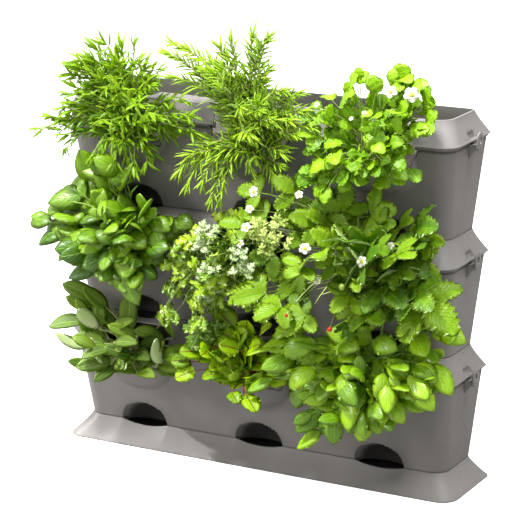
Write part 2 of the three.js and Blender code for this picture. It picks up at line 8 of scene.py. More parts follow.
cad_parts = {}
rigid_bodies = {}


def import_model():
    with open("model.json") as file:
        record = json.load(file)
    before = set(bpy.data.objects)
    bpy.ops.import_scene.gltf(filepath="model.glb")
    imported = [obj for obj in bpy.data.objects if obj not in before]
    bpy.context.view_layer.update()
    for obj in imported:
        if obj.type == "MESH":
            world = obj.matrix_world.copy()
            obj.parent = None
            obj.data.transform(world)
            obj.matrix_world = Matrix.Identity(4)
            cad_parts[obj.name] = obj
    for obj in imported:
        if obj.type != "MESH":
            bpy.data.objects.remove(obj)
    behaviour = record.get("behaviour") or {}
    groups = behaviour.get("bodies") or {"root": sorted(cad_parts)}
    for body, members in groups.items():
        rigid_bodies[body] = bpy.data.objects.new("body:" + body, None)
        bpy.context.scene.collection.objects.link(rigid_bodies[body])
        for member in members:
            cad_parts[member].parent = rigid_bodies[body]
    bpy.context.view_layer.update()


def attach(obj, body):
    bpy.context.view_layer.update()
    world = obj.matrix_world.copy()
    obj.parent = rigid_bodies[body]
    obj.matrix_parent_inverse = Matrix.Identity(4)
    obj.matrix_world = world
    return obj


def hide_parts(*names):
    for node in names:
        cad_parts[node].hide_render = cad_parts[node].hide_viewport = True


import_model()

scene = bpy.context.scene
mm = 0.001
tierNames = ("bottom", "middle", "top")


def linked(name, data):
    made = bpy.data.objects.new(name, data)
    scene.collection.objects.link(made)
    return made


# The body a piece rides on and the imported node it takes the place of
def claim(piece, body, node):
    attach(piece, body)
    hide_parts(node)


# Camera, at the photograph's place and angle. Lengths are metres, angles degrees.
cameraView = dict(
    place=(1.587, -2.935, 1.231),
    yaw=-28.58,
    pitch=15.52,
    roll=-0.40,
    focalPixels=2294.9,
    photoLongSide=530,
    sensor=36.0,
    shift=(-0.0019, -0.0028),
)


def makeCamera(view):
    yaw, pitch, roll = (math.radians(view[key]) for key in ("yaw", "pitch", "roll"))
    level = math.cos(pitch)
    forward = Vector((math.sin(yaw) * level, math.cos(yaw) * level, -math.sin(pitch)))
    right = forward.cross(Vector((0, 0, 1))).normalized()
    up = right.cross(forward)
    turnedRight = right * math.cos(roll) + up * math.sin(roll)
    turnedUp = up * math.cos(roll) - right * math.sin(roll)
    data = bpy.data.cameras.new("photoCamera")
    data.sensor_width = view["sensor"]
    data.lens = view["focalPixels"] * view["sensor"] / view["photoLongSide"]
    data.shift_x, data.shift_y = view["shift"]
    camera = linked("photoCamera", data)
    matrix = Matrix((turnedRight, turnedUp, -forward)).transposed().to_4x4()
    matrix.translation = view["place"]
    camera.matrix_world = matrix
    scene.camera = camera


# Node helpers: an input is given as a value or as the socket it is linked from
def fillInputs(tree, node, inputs):
    for key, value in inputs.items():
        if isinstance(value, bpy.types.NodeSocket):
            tree.links.new(value, node.inputs[key])
        else:
            node.inputs[key].default_value = value


def addNode(tree, kind, inputs=None, **settings):
    node = tree.nodes.new(kind)
    for key, value in settings.items():
        setattr(node, key, value)
    fillInputs(tree, node, inputs or {})
    return node


def calc(tree, operation, first, second=0.0, third=0.0):
    inputs = {0: first, 1: second, 2: third}
    return addNode(tree, "ShaderNodeMath", inputs, operation=operation).outputs[0]


def times(tree, first, second):
    return calc(tree, "MULTIPLY", first, second)


def offHalf(tree, value):
    return calc(tree, "ABSOLUTE", calc(tree, "SUBTRACT", value, 0.5))


def mixColor(tree, share, first, second):
    inputs = {0: share, 6: first, 7: second}
    return addNode(tree, "ShaderNodeMix", inputs, data_type="RGBA").outputs[2]


def stepBetween(tree, value, low, high, fromValue=0.0, toValue=1.0):
    inputs = {"Value": value, "From Min": low, "From Max": high, "To Min": fromValue, "To Max": toValue}
    return addNode(tree, "ShaderNodeMapRange", inputs, interpolation_type="SMOOTHSTEP").outputs[0]


def noiseOf(tree, scale, detail=3.0, roughness=0.5):
    place = addNode(tree, "ShaderNodeTexCoord").outputs["Object"]
    inputs = {"Vector": place, "Scale": scale, "Detail": detail, "Roughness": roughness}
    return addNode(tree, "ShaderNodeTexNoise", inputs).outputs[0]


def valueOf(tree, name):
    return addNode(tree, "ShaderNodeAttribute", attribute_name=name).outputs["Fac"]


def bumpOf(tree, height, strength, distance):
    inputs = {"Height": height, "Strength": strength, "Distance": distance}
    return addNode(tree, "ShaderNodeBump", inputs).outputs[0]


def emptied(owner):
    owner.use_nodes = True
    owner.node_tree.nodes.clear()
    return owner.node_tree


def newMaterial(name):
    material = bpy.data.materials.new(name)
    tree = emptied(material)
    surface = addNode(tree, "ShaderNodeBsdfPrincipled")
    addNode(tree, "ShaderNodeOutputMaterial", {"Surface": surface.outputs[0]})
    return material, tree, surface


def tint(*shown):
    return tuple((part / 255) ** 2.2 for part in shown) + (1.0,)


# Studio: soft lamps, a white surround and a white floor that keeps the shadow
studio = dict(
    white=tint(255, 255, 255),
    surround=tint(250, 250, 252),
    lamps=(
        ("keyLamp", (-0.80, -1.35, 3.80), 0.6, 312, (1.0, 0.99, 0.97)),
        ("sideLamp", (1.15, -0.2, 3.4), 1.4, 110, (1.0, 1.0, 1.0)),
        ("leftLamp", (-2.4, -2.4, 1.8), 0.7, 58, (1.0, 0.97, 0.92)),
    ),
    aim=(0.0, 0.0, 0.28),
    spotPlace=(-2.05, -0.29, 1.30),
    spotAim=(-0.20, -0.18, 0.02),
    spotPower=620,
    spotDegrees=10,
    spotRadius=0.03,
    floorSize=14.0,
    floorGlow=0.72,
    floorShade=tint(140, 139, 137),
    floorSeen=tint(230, 230, 230),
)


def makeSurround(look):
    world = bpy.data.worlds.new("studioSurround")
    tree = emptied(world)
    scene.world = world
    path = addNode(tree, "ShaderNodeLightPath").outputs
    seen = calc(tree, "MAXIMUM", path["Is Camera Ray"], path["Is Glossy Ray"])
    seen = calc(tree, "MAXIMUM", seen, path["Is Transmission Ray"])
    color = mixColor(tree, seen, look["surround"], look["white"])
    glow = addNode(tree, "ShaderNodeBackground", {"Color": color, "Strength": 1.0})
    addNode(tree, "ShaderNodeOutputWorld", {"Surface": glow.outputs[0]})


def addLamp(name, kind, place, aim, **settings):
    data = bpy.data.lights.new(name, kind)
    for key, value in settings.items():
        setattr(data, key, value)
    lamp = linked(name, data)
    lamp.location = place
    lamp.rotation_mode = "QUATERNION"
    lamp.rotation_quaternion = (Vector(aim) - Vector(place)).to_track_quat("-Z", "Y")


def makeLamps(look):
    for name, place, size, power, color in look["lamps"]:
        addLamp(name, "AREA", place, look["aim"], shape="DISK", size=size, energy=power, color=color)
    addLamp(
        "lowSpot", "SPOT", look["spotPlace"], look["spotAim"], energy=look["spotPower"],
        spot_size=math.radians(look["spotDegrees"]), spot_blend=1.0, shadow_soft_size=look["spotRadius"],
    )


def makeFloor(look):
    half = look["floorSize"] / 2
    corners = [(-half, -half, 0), (half, -half, 0), (half, half, 0), (-half, half, 0)]
    mesh = bpy.data.meshes.new("studioFloor")
    mesh.from_pydata(corners, [], [(0, 1, 2, 3)])
    material = bpy.data.materials.new("studioFloor")
    tree = emptied(material)
    seen = addNode(tree, "ShaderNodeLightPath").outputs["Is Camera Ray"]
    color = mixColor(tree, seen, look["floorShade"], look["floorSeen"])
    strength = times(tree, seen, look["floorGlow"])
    matte = addNode(tree, "ShaderNodeBsdfDiffuse", {"Color": color})
    glow = addNode(tree, "ShaderNodeEmission", {"Color": look["white"], "Strength": strength})
    both = addNode(tree, "ShaderNodeAddShader", {0: matte.outputs[0], 1: glow.outputs[0]})
    addNode(tree, "ShaderNodeOutputMaterial", {"Surface": both.outputs[0]})
    mesh.materials.append(material)
    linked("studioFloor", mesh)


makeCamera(cameraView)
makeSurround(studio)
makeLamps(studio)
makeFloor(studio)
scene.view_settings.view_transform = "Standard"
print("stage: camera and studio")


# Plastic: satin moulded grey with a fine grain and slight clouding. Painted shade darkens the troughs'
# arches, necks, rim groove, rim edge and foot, and painted light makes the covers' down-facing inner sides
# paler.
plasticLook = dict(
    dark=tint(113, 110, 108),
    light=tint(121, 118, 116),
    # painted shade: the dark colour painted into the troughs' arches, necks, rim groove, rim edge and foot
    hollow=tint(48, 47, 45),
    # painted light: the paler colour painted on the covers' inner sides that face downwards, standing in for
    # light that reaches them
    inside=tint(170, 169, 167),
    paintedLightFacing=(-0.25, -0.45),
    cloudScale=9.0,
    sheenScale=140.0,
    roughness=(0.40, 0.52),
    shine=0.15,
    grainScale=900.0,
    grainStrength=0.35,
    grainHeight=0.00006,
)


def makePlastic(look):
    material, tree, surface = newMaterial("greyPlastic")
    cloud = stepBetween(tree, noiseOf(tree, look["cloudScale"], 4.0), 0.3, 0.7)
    color = mixColor(tree, cloud, look["dark"], look["light"])
    # painted shade: the dark colour is mixed in by each point's stored painted-shade amount
    color = mixColor(tree, valueOf(tree, "hollow"), color, look["hollow"])
    # painted light: cover points whose faces point downwards are painted with the paler inside colour
    normal = addNode(tree, "ShaderNodeNewGeometry").outputs["Normal"]
    facing = addNode(tree, "ShaderNodeSeparateXYZ", {0: normal}).outputs[2]
    inner = times(tree, valueOf(tree, "inner"), stepBetween(tree, facing, *look["paintedLightFacing"]))
    sheen = noiseOf(tree, look["sheenScale"], 3.0)
    grain = noiseOf(tree, look["grainScale"], 2.0)
    fillInputs(tree, surface, {
        "Base Color": mixColor(tree, inner, color, look["inside"]),
        "Roughness": stepBetween(tree, sheen, 0.3, 0.7, *look["roughness"]),
        "Normal": bumpOf(tree, grain, look["grainStrength"], look["grainHeight"]),
        "Specular IOR Level": look["shine"],
    })
    return material


greyPlastic = makePlastic(plasticLook)


# Mesh helpers
def smoothed(mesh, sharpAngle):
    mesh.shade_smooth()
    mesh.set_sharp_from_angle(angle=math.radians(sharpAngle))


def addPlastic(name, verts, faces, sharpAngle=None):
    mesh = bpy.data.meshes.new(name)
    mesh.from_pydata([tuple(v) for v in verts], [], faces)
    mesh.materials.append(greyPlastic)
    if sharpAngle:
        smoothed(mesh, sharpAngle)
    return linked(name, mesh)


def movedCopy(source, name, matrix, sharpAngle):
    mesh = source.data.copy()
    mesh.transform(matrix)
    smoothed(mesh, sharpAngle)
    return linked(name, mesh)


def lofted(rings, loop=False):
    ringCount, count = len(rings), len(rings[0])
    faces = []
    for r in range(ringCount if loop else ringCount - 1):
        above = (r + 1) % ringCount
        for i in range(count):
            j = (i + 1) % count
            faces.append((r * count + i, r * count + j, above * count + j, above * count + i))
    if not loop:
        faces.append(tuple(reversed(range(count))))
        faces.append(tuple(range((ringCount - 1) * count, ringCount * count)))
    return [point for ring in rings for point in ring], faces


def finished(piece, name):
    graph = bpy.context.evaluated_depsgraph_get()
    mesh = bpy.data.meshes.new_from_object(piece.evaluated_get(graph))
    mesh.name = name
    bpy.data.objects.remove(piece)
    return linked(name, mesh)


def clamped(value):
    return min(max(value, 0), 1)


def smoothStep(low, high, value):
    t = clamped((value - low) / (high - low))
    return t * t * (3 - 2 * t)


def steps(low, high, count):
    return [low + (high - low) * i / count for i in range(count + 1)]


# Tower sizes in metres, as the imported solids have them
tower = dict(
    half=0.325,
    halfDepth=0.070,
    wall=0.0028,
    neckInset=(0.017, 0.024, 0.018),
    frontRadius=0.026,
    rearRadius=0.009,
    frontArcSteps=10,
    rearArcSteps=6,
    firstTier=0.0331,
    tierPitch=0.176,
    pocketPitch=0.203,
    fitClearance=0.0005,
    seatGap=0.0003,
)
pocketCentres = (-tower["pocketPitch"], 0.0, tower["pocketPitch"])


def grown(size, end, front, rear):
    return dict(size, half=size["half"] + end, front=size["front"] - front, rear=size["rear"] + rear)


def inset(size, by):
    return dict(grown(size, -by, -by, -by), shrink=size["shrink"] + by)


def between(first, second, share):
    return {key: first[key] + (second[key] - first[key]) * share for key in first}


lipSize = dict(half=tower["half"], front=-tower["halfDepth"], rear=tower["halfDepth"], shrink=0.0)
neckSize = grown(lipSize, *(-by for by in tower["neckInset"]))


def offPocket(x):
    return min(abs(x - centre) for centre in pocketCentres)


# Columns of the front walls: close together where the arches and mouths turn
columnOffsets = (0, 6, 12, 18, 24, 30, 34, 37, 39, 40, 41, 43, 47, 51, 54, 56, 58, 60, 62, 64, 66, 68, 71)


def frontColumns(arcStart):
    offsets = sorted({sign * off * mm for off in columnOffsets for sign in (-1, 1)})
    columns = []
    for centre in pocketCentres:
        if columns:
            columns += steps(columns[-1], centre + offsets[0], 6)[1:-1]
        columns += [centre + off for off in offsets]
    ends = steps(columns[-1], arcStart, 4)[1:-1]
    return [-x for x in reversed(ends)] + columns + ends


def planOf(size, rows=()):
    radius = max(tower["frontRadius"] - size["shrink"], tower["wall"])
    backRadius = max(tower["rearRadius"] - size["shrink"], tower["wall"])
    points = []

    def arc(x, y, r, start, count):
        for i in range(count + 1):
            turn = start + i / count * math.pi / 2
            points.append((x + r * math.cos(turn), y + r * math.sin(turn), "corner"))

    half, front, rear = size["half"], size["front"], size["rear"]
    arc(-half + radius, front + radius, radius, math.pi, tower["frontArcSteps"])
    points += [(x, front, "front") for x in frontColumns(half - radius)]
    arc(half - radius, front + radius, radius, 1.5 * math.pi, tower["frontArcSteps"])
    points += [(half, y, "end") for y in rows]
    arc(half - backRadius, rear - backRadius, backRadius, 0, tower["rearArcSteps"])
    arc(-half + backRadius, rear - backRadius, backRadius, math.pi / 2, tower["rearArcSteps"])
    points += [(-half, y, "end") for y in reversed(rows)]
    return points


# Troughs: one hollow moulding with planting pockets in its front
troughLook = dict(
    height=0.1395,
    rimInset=0.0045,
    mouthHalf=0.060,
    mouthEase=(0.053, 0.069),
    lipHeight=0.104,
    lipCrown=0.007,
    bowlHalf=0.064,
    bowlDrop=0.050,
    bowlReach=0.028,
    bowlBlend=0.55,
    bowlSoft=0.35,
    squeezeShare=0.71,
    archHalf=0.041,
    archHeight=0.032,
    archDepth=0.026,
    archBlend=0.08,
    archPower=0.5,
    # painted shade: how dark the arch, the neck above it and the groove, rim-edge and foot bands are painted
    archShade=0.4,
    neckShade=0.2,
    neckFade=(-1.1, 0.1),
    grooveShade=0.75,
    grooveBand=(0.0033, 0.0066),
    edgeBand=0.0005,
    footBand=0.0015,
    archZone=0.036,
    bowlZone=0.092,
    rimZone=0.006,
    floorRise=0.002,
    floorThickness=0.003,
    spigotDepth=0.004,
    spigotWall=0.0025,
    rimLevels=((-0.0042, 0.0), (-0.0036, 0.0012), (-0.0026, 0.002), (-0.0007, 0.002), (0.0, 0.0012)),
    rimEase=(0.0004, 0.0006),
    sharpAngle=35,
)
rimSize = inset(lipSize, troughLook["rimInset"])
footSize = inset(neckSize, tower["fitClearance"])


def wallSize(share):
    return between(footSize, rimSize, clamped(share))


def archAt(x, z, look):
    return 1 - (offPocket(x) / look["archHalf"]) ** 2 - (max(z, 0) / look["archHeight"]) ** 2


def frontPush(x, z, look):
    below = max((look["lipHeight"] - z) / look["bowlDrop"], 0)
    bowl = 1 - (offPocket(x) / look["bowlHalf"]) ** 2 - below ** 2
    arch = archAt(x, z, look)
    push = 0.0
    if bowl > 0:
        power = 0.5 + look["bowlSoft"] * below
        blend = smoothStep(0, 0.02 + look["bowlBlend"] * below, bowl)
        push += look["bowlReach"] * bowl ** power * blend
    if arch > 0:
        push -= look["archDepth"] * arch ** look["archPower"] * smoothStep(0, look["archBlend"], arch)
    return push


def mouthDrop(x, z, look):
    off = offPocket(x)
    squeezeFrom = look["lipHeight"] - (1 - look["squeezeShare"]) * look["bowlDrop"]
    squeeze = clamped((z - squeezeFrom) / (look["height"] - squeezeFrom))
    lip = look["lipHeight"] + look["lipCrown"] * max(1 - (off / look["mouthHalf"]) ** 2, 0)
    opened = 1 - smoothStep(*look["mouthEase"], off)
    return -opened * squeeze * (look["height"] - lip)


def troughRing(z, by, look, level=None):
    level = z if level is None else level
    height = look["height"]
    ring = []
    for x, y, side in planOf(inset(wallSize(z / height), by)):
        if side != "front":
            ring.append((x, y, level))
            continue
        drop = mouthDrop(x, z, look)
        front = wallSize((z + drop) / height)["front"] + by
        ring.append((x, front - frontPush(x, z + drop, look), level + drop))
    return ring


def troughShape(look):
    height, wall, arch, bowl = look["height"], tower["wall"], look["archZone"], look["bowlZone"]
    rim = height - look["rimZone"]
    outer = steps(0, arch, 14) + steps(arch, bowl, 14)[1:] + steps(bowl, rim, 12)[1:]
    inner = steps(rim, arch, 20) + steps(arch, look["floorRise"], 8)[1:]
    spigot = wall + tower["fitClearance"]
    well = spigot + look["spigotWall"]
    foot = ((well, look["floorRise"] - look["floorThickness"]), (well, -look["spigotDepth"]))
    foot += ((spigot, -look["spigotDepth"]), (spigot, 0))
    rings = [troughRing(0, by, look, level) for by, level in foot]
    rings += [troughRing(z, 0, look) for z in outer]
    rings += [troughRing(height + down, -out, look) for down, out in look["rimLevels"]]
    across, down = look["rimEase"]
    rings += [troughRing(height, wall - across, look), troughRing(height - down, wall, look)]
    return lofted(rings + [troughRing(z, wall, look) for z in inner])


def tierLevel(tier):
    return tower["firstTier"] + tier * tower["tierPitch"]


def raised(verts, z):
    return [(x, y, level + z) for x, y, level in verts]


# Painted shade: how much darkening is painted on a point, in an arch, in the neck above it, in the groove
# under the rim, at the rim's edge and at the foot
def paintedShadeAt(x, y, z, look):
    arch = archAt(x, z, look)
    neck = look["neckShade"] * smoothStep(*look["neckFade"], arch)
    shade = max(smoothStep(0, look["archShade"], arch), neck) if y < 0 else 0.0
    down = look["height"] - z + mouthDrop(x, look["height"], look) * (y < -0.05)
    low, high = look["grooveBand"]
    groove = low < down < high or abs(down) < look["edgeBand"] or z < look["footBand"]
    return max(shade, look["grooveShade"] if groove else 0)


troughVerts, troughFaces = troughShape(troughLook)
# the painted shade of each point, kept on the troughs for the plastic's colour
paintedShades = [paintedShadeAt(*vert, troughLook) for vert in troughVerts]
for tier, tierName in enumerate(tierNames):
    verts = raised(troughVerts, tierLevel(tier))
    piece = addPlastic(f"trough.{tierName}", verts, troughFaces, troughLook["sharpAngle"])
    piece.data.attributes.new("hollow", "FLOAT", "POINT").data.foreach_set("value", paintedShades)
    claim(piece, f"trough_{tierName}", f"trough_{tierName}")
print("stage: troughs", len(troughVerts), "points each")


# Cover frames: a hollow flare with a flat band, a crease and a mouth above each pocket
coverLook = dict(
    height=0.0359,
    lip=0.0024,
    beadLevels=((0, 0.0006), (0.0004, -0.0007), (0.0009, -0.0008), (0.0016, -0.0008), (0.0020, -0.0005)),
    topEase=0.0006,
    slopeFrom=0.0026,
    ledge=0.003,
    flare=1.2,
    creaseDrop=0.0069,
    creaseEase=(0.0010, 0.0004, 0.0005),
    bandDepth=0.014,
    creaseEnd=(0.270, 0.284),
    skirtWall=0.002,
    skirtDepth=0.006,
    rimDip=0.006,
    recessHalf=0.011,
    recessDepth=0.006,
    recessLevels=(0.0035, 0.008, 0.015),
    mouthRadius=0.014,
    mouthSill=0.002,
    cutDepths=(-0.090, -0.040),
    eyeletY=0.004,
    sharpAngle=30,
)


def dipAt(x, look):
    return look["rimDip"] * max(1 - (offPocket(x) / troughLook["archHalf"]) ** 2, 0)


def recessAt(y, z, look):
    low, full, top = look["recessLevels"]
    across = max(1 - ((y - look["eyeletY"]) / look["recessHalf"]) ** 2, 0)
    along = smoothStep(low - 0.001, low + 0.001, z) * (1 - smoothStep(full, top, z))
    return look["recessDepth"] * math.sqrt(across) * along


def coverRing(z, by, look, flat=False):
    height, lip = look["height"], look["lip"]
    flare = 0 if flat else 1 - (1 - clamped((z - lip) / (height - lip))) ** look["flare"]
    size = between(lipSize, neckSize, flare)
    creaseLevel = height - look["creaseDrop"]
    band = max(z - creaseLevel, 0) / look["creaseDrop"]
    creaseFront = neckSize["front"] - look["bandDepth"]
    panel = (creaseFront - lipSize["front"]) * clamped(z / creaseLevel)
    front = lipSize["front"] + panel + band * look["bandDepth"] + by
    rows = [look["eyeletY"] + look["recessHalf"] * step for step in steps(-1.2, 1.2, 16)]
    ring = []
    for x, y, side in planOf(inset(size, by), rows):
        if side == "end" and not flat:
            ring.append((x - math.copysign(recessAt(y, z, look), x), y, z))
        elif side == "front" and not flat:
            creased = 1 - smoothStep(*look["creaseEnd"], abs(x))
            ring.append((x, y + (front - y) * creased, z - band * dipAt(x, look)))
        else:
            ring.append((x, y, z))
    return ring


def mouthCutters(look):
    half, radius = troughLook["mouthHalf"], look["mouthRadius"]
    bend = look["height"] - look["creaseDrop"] - look["mouthSill"] - radius
    low = -2 * look["skirtDepth"]
    flat = half - radius
    outline = [(-half, low), (half, low)]
    outline += [(flat + radius * math.cos(a), bend + radius * math.sin(a)) for a in steps(0, math.pi / 2, 8)]
    outline += [(-flat - radius * math.sin(a), bend + radius * math.cos(a)) for a in steps(0, math.pi / 2, 8)]
    count = len(outline)
    verts, faces = [], []
    for centre in pocketCentres:
        start = len(verts)
        for y in look["cutDepths"]:
            verts += [(centre + x, y, z) for x, z in outline]
        faces.append(tuple(start + i for i in range(count)))
        faces.append(tuple(start + count + i for i in reversed(range(count))))
        for i in range(count):
            j = (i + 1) % count
            faces.append((start + j, start + i, start + count + i, start + count + j))
    return verts, faces


def cutBy(piece, cutter, operation="DIFFERENCE"):
    modifier = piece.modifiers.new("cut", "BOOLEAN")
    modifier.operation = operation
    modifier.solver = "EXACT"
    modifier.object = cutter
    made = finished(piece, piece.name)
    bpy.data.objects.remove(cutter)
    return made


def coverShape(look):
    height, wall, depth = look["height"], tower["wall"], look["skirtDepth"]
    crease = height - look["creaseDrop"]
    before, near, after = look["creaseEase"]
    skirt = troughLook["rimInset"] + wall + tower["fitClearance"]
    taper = tower["neckInset"][1] * depth / troughLook["height"]
    slope = steps(look["slopeFrom"], crease - before, 14) + [crease - near, crease, crease + after]
    slope += steps(crease + after, height - near, 4)[1:]
    rings = [coverRing(z, by, look) for z, by in look["beadLevels"]]
    rings += [coverRing(z, 0, look) for z in slope]
    rings += [coverRing(height, look["topEase"], look), coverRing(height, wall, look)]
    rings += [coverRing(z, wall, look) for z in steps(crease, look["ledge"], 8)]
    reach = skirt + look["skirtWall"]
    inner = ((look["ledge"], reach), (-depth, reach + taper), (-depth, skirt + taper), (0, skirt))
    return lofted(rings + [coverRing(z, by, look, True) for z, by in inner], True)


blank = addPlastic("coverBlank", *coverShape(coverLook))
blank = cutBy(blank, addPlastic("coverCutter", *mouthCutters(coverLook)))
for tier, tierName in enumerate(tierNames):
    level = tierLevel(tier) + troughLook["height"] + tower["seatGap"]
    up = Matrix.Translation((0, 0, level))
    piece = movedCopy(blank, f"cover.{tierName}", up, coverLook["sharpAngle"])
    # marks every cover point for the painted light on its down-facing inner sides
    inner = [1.0] * len(piece.data.vertices)
    piece.data.attributes.new("inner", "FLOAT", "POINT").data.foreach_set("value", inner)
    claim(piece, f"cover_{tierName}", f"cover_{tierName}")
bpy.data.objects.remove(blank)
print("stage: cover frames")


# Base tray: a flat floor inside a flared skirt, hollow underneath
baseLook = dict(
    height=0.0328,
    flare=(0.023, 0.026, 0.016),
    lip=0.003,
    beadLevels=((0, -0.0014), (0.0004, -0.0018), (0.0018, -0.0018), (0.0024, -0.0013), (0.0026, 0)),
    topEase=(0.0004, 0.0006),
    draft=0.002,
    joinDrop=0.006,
    sharpAngle=30,
)
baseSize = grown(neckSize, *baseLook["flare"])


def baseRing(z, by, flare, dipShare=0.0):
    plan = planOf(inset(between(neckSize, baseSize, flare), by))
    return [(x, y, z - (dipShare * dipAt(x, coverLook) if side == "front" else 0)) for x, y, side in plan]


def baseShape(look):
    height, lip, wall, draft = look["height"], look["lip"], tower["wall"], look["draft"]
    join = height - coverLook["rimDip"] - look["joinDrop"]
    down, across = look["topEase"]
    rows = [(0, draft, 0), (join, tower["seatGap"], 0), (0, wall, 1)]
    rows += [(z, by, 1) for z, by in look["beadLevels"]]
    for share in steps(0, 1, 16)[1:-1]:
        rows.append((lip + (height - lip) * share, 0, (1 - share) ** coverLook["flare"], share))
    rows += [(height - down, 0, 0, 1), (height, across, 0, 1), (height, wall, 0, 1), (lip, wall + draft, 0)]
    return lofted([baseRing(*row) for row in rows])


claim(addPlastic("baseTray", *baseShape(baseLook), baseLook["sharpAngle"]), "base", "base_tray")
print("stage: base tray")


# Eyelets: an upright tongue with a slot, on a tapering half-cone gusset
eyeletLook = dict(
    y=0.004,
    thickness=0.003,
    half=0.010,
    standOff=0.012,
    top=0.014,
    root=0.014,
    round=0.007,
    holeHalf=(0.003, 0.0045),
    holeCorner=0.0012,
    holeCentre=0.002,
    holeOver=0.004,
    gussetTop=0.0038,
    gussetHeight=0.021,
    gussetHalf=0.0075,
    footHalf=0.003,
    footReach=0.0015,
    edge=0.0007,
    sharpAngle=40,
)


def wallHalf(drop):
    return wallSize(1 - drop / troughLook["height"])["half"] + tower["seatGap"]


def prism(outline, low, high):
    count = len(outline)
    verts = [(low, y, z) for y, z in outline] + [(high, y, z) for y, z in outline]
    faces = [tuple(reversed(range(count))), tuple(range(count, 2 * count))]
    faces += [(i, (i + 1) % count, count + (i + 1) % count, count + i) for i in range(count)]
    return verts, faces


def bevelled(piece, width):
    modifier = piece.modifiers.new("edge", "BEVEL")
    modifier.width = width
    modifier.segments = 2
    modifier.limit_method = "ANGLE"
    return finished(piece, piece.name)


def tongueOutline(look):
    half, crown = look["half"], look["top"] - look["half"]
    outline = []
    for a in steps(math.pi, math.tau, 12):
        outline.append((half * math.cos(a), look["round"] * (1 + math.sin(a)) - look["root"]))
    return outline + [(half * math.cos(a), crown + half * math.sin(a)) for a in steps(0, math.pi, 20)]


def holeOutline(look):
    holeHalf, holeRise = look["holeHalf"]
    corner = look["holeCorner"]
    hole = []
    for across, up, start in ((1, -1, -0.5), (1, 1, 0.0), (-1, 1, 0.5), (-1, -1, 1.0)):
        y, z = across * (holeHalf - corner), look["holeCentre"] + up * (holeRise - corner)
        for a in steps(start * math.pi, (start + 0.5) * math.pi, 4):
            hole.append((y + corner * math.cos(a), z + corner * math.sin(a)))
    return hole


def eyeletShape(look):
    outer = wallHalf(0) + look["standOff"] + look["thickness"]
    inner, over = outer - look["thickness"], look["holeOver"]
    tongue = addPlastic("eyeletTongue", *prism(tongueOutline(look), inner, outer))
    slot = addPlastic("eyeletSlot", *prism(holeOutline(look), inner - over, outer + over))
    tongue = bevelled(cutBy(tongue, slot), look["edge"])
    rings = []
    for share in steps(0, 1, 10):
        drop = look["gussetTop"] + look["gussetHeight"] * (1 - share)
        across = look["footHalf"] + (look["gussetHalf"] - look["footHalf"]) * share ** 0.8
        reach = look["footReach"] + (outer - wallHalf(look["gussetTop"]) - look["footReach"]) * share
        wall, turns = wallHalf(drop), steps(0, math.pi, 14)
        rings.append([(wall + reach * math.sin(a) ** 0.7, -across * math.cos(a), -drop) for a in turns])
    return cutBy(tongue, addPlastic("eyeletGusset", *lofted(rings)), "UNION")


eyelet = eyeletShape(eyeletLook)
for tier, tierName in enumerate(tierNames):
    for side, turn in (("left", math.pi), ("right", 0)):
        level = tierLevel(tier) + troughLook["height"]
        place = Matrix.Translation((0, eyeletLook["y"], level)) @ Matrix.Rotation(turn, 4, "Z")
        piece = movedCopy(eyelet, f"eyelet.{side}.{tierName}", place, eyeletLook["sharpAngle"])
        claim(piece, f"trough_{tierName}", f"eyelet_{side}_{tierName}")
bpy.data.objects.remove(eyelet)
print("stage: eyelets")


# Soil: the packed soil rounded off into a lumpy crumbling surface
soilLook = dict(
    dark=tint(26, 20, 16),
    light=tint(56, 45, 37),
    coarseScale=90.0,
    fineScale=420.0,
    grit=0.7,
    bump=0.9,
    bumpHeight=0.002,
    roughness=0.95,
    voxel=0.0035,
    weld=0.00001,
    lumpHeight=0.0035,
    lumpScale=120.0,
    fineLumps=2.3,
    sink=0.4,
    top=0.099,
    topBand=(0.006, 0.001),
    inward=0.0012,
)


def makeSoil(look):
    material, tree, surface = newMaterial("darkSoil")
    coarse = noiseOf(tree, look["coarseScale"], 5.0, look["grit"])
    fine = noiseOf(tree, look["fineScale"], 4.0, look["grit"])
    fillInputs(tree, surface, {
        "Base Color": mixColor(tree, stepBetween(tree, coarse, 0.35, 0.7), look["dark"], look["light"]),
        "Roughness": look["roughness"],
        "Normal": bumpOf(tree, fine, look["bump"], look["bumpHeight"]),
    })
    return material


def soilShape(tier, look):
    source = bpy.data.objects[f"soil_{tierNames[tier]}"]
    mesh = source.data.copy()
    mesh.transform(source.matrix_world)
    piece = linked("soilBlank", mesh)
    piece.modifiers.new("weld", "WELD").merge_threshold = look["weld"]
    remesh = piece.modifiers.new("remesh", "REMESH")
    remesh.mode = "VOXEL"
    remesh.voxel_size = look["voxel"]
    remesh.use_smooth_shade = True
    piece = finished(piece, f"soil.{tierNames[tier]}")
    top = tierLevel(tier) + look["top"]
    under, over = look["topBand"]
    for vertex in piece.data.vertices:
        place = vertex.co * look["lumpScale"]
        lump = noise.noise(place) + 0.5 * noise.noise(place * look["fineLumps"])
        near = smoothStep(top - under, top - over, vertex.co.z)
        vertex.co.z += look["lumpHeight"] * (lump - look["sink"]) * near
        level = vertex.co.z - tierLevel(tier)
        wall = wallSize(level / troughLook["height"])["front"] + tower["wall"]
        vertex.co.y = max(vertex.co.y, wall - frontPush(vertex.co.x, level, troughLook) + look["inward"])
    piece.data.materials.clear()
    piece.data.materials.append(darkSoil)
    return piece


darkSoil = makeSoil(soilLook)
for tier, tierName in enumerate(tierNames):
    claim(soilShape(tier, soilLook), f"trough_{tierName}", f"soil_{tierName}")
print("stage: soil")


# Leaves: thin closed blades with a shared edge. The map leafUV runs across and along
# the blade, and the underside is one unit further across.
bladeDefaults = dict(
    petiole=0.12, tilt=0.2, arch=0.6, fold=0.2, dome=0.1, wave=0, waves=3,
    thickness=0.02, columns=4,
)


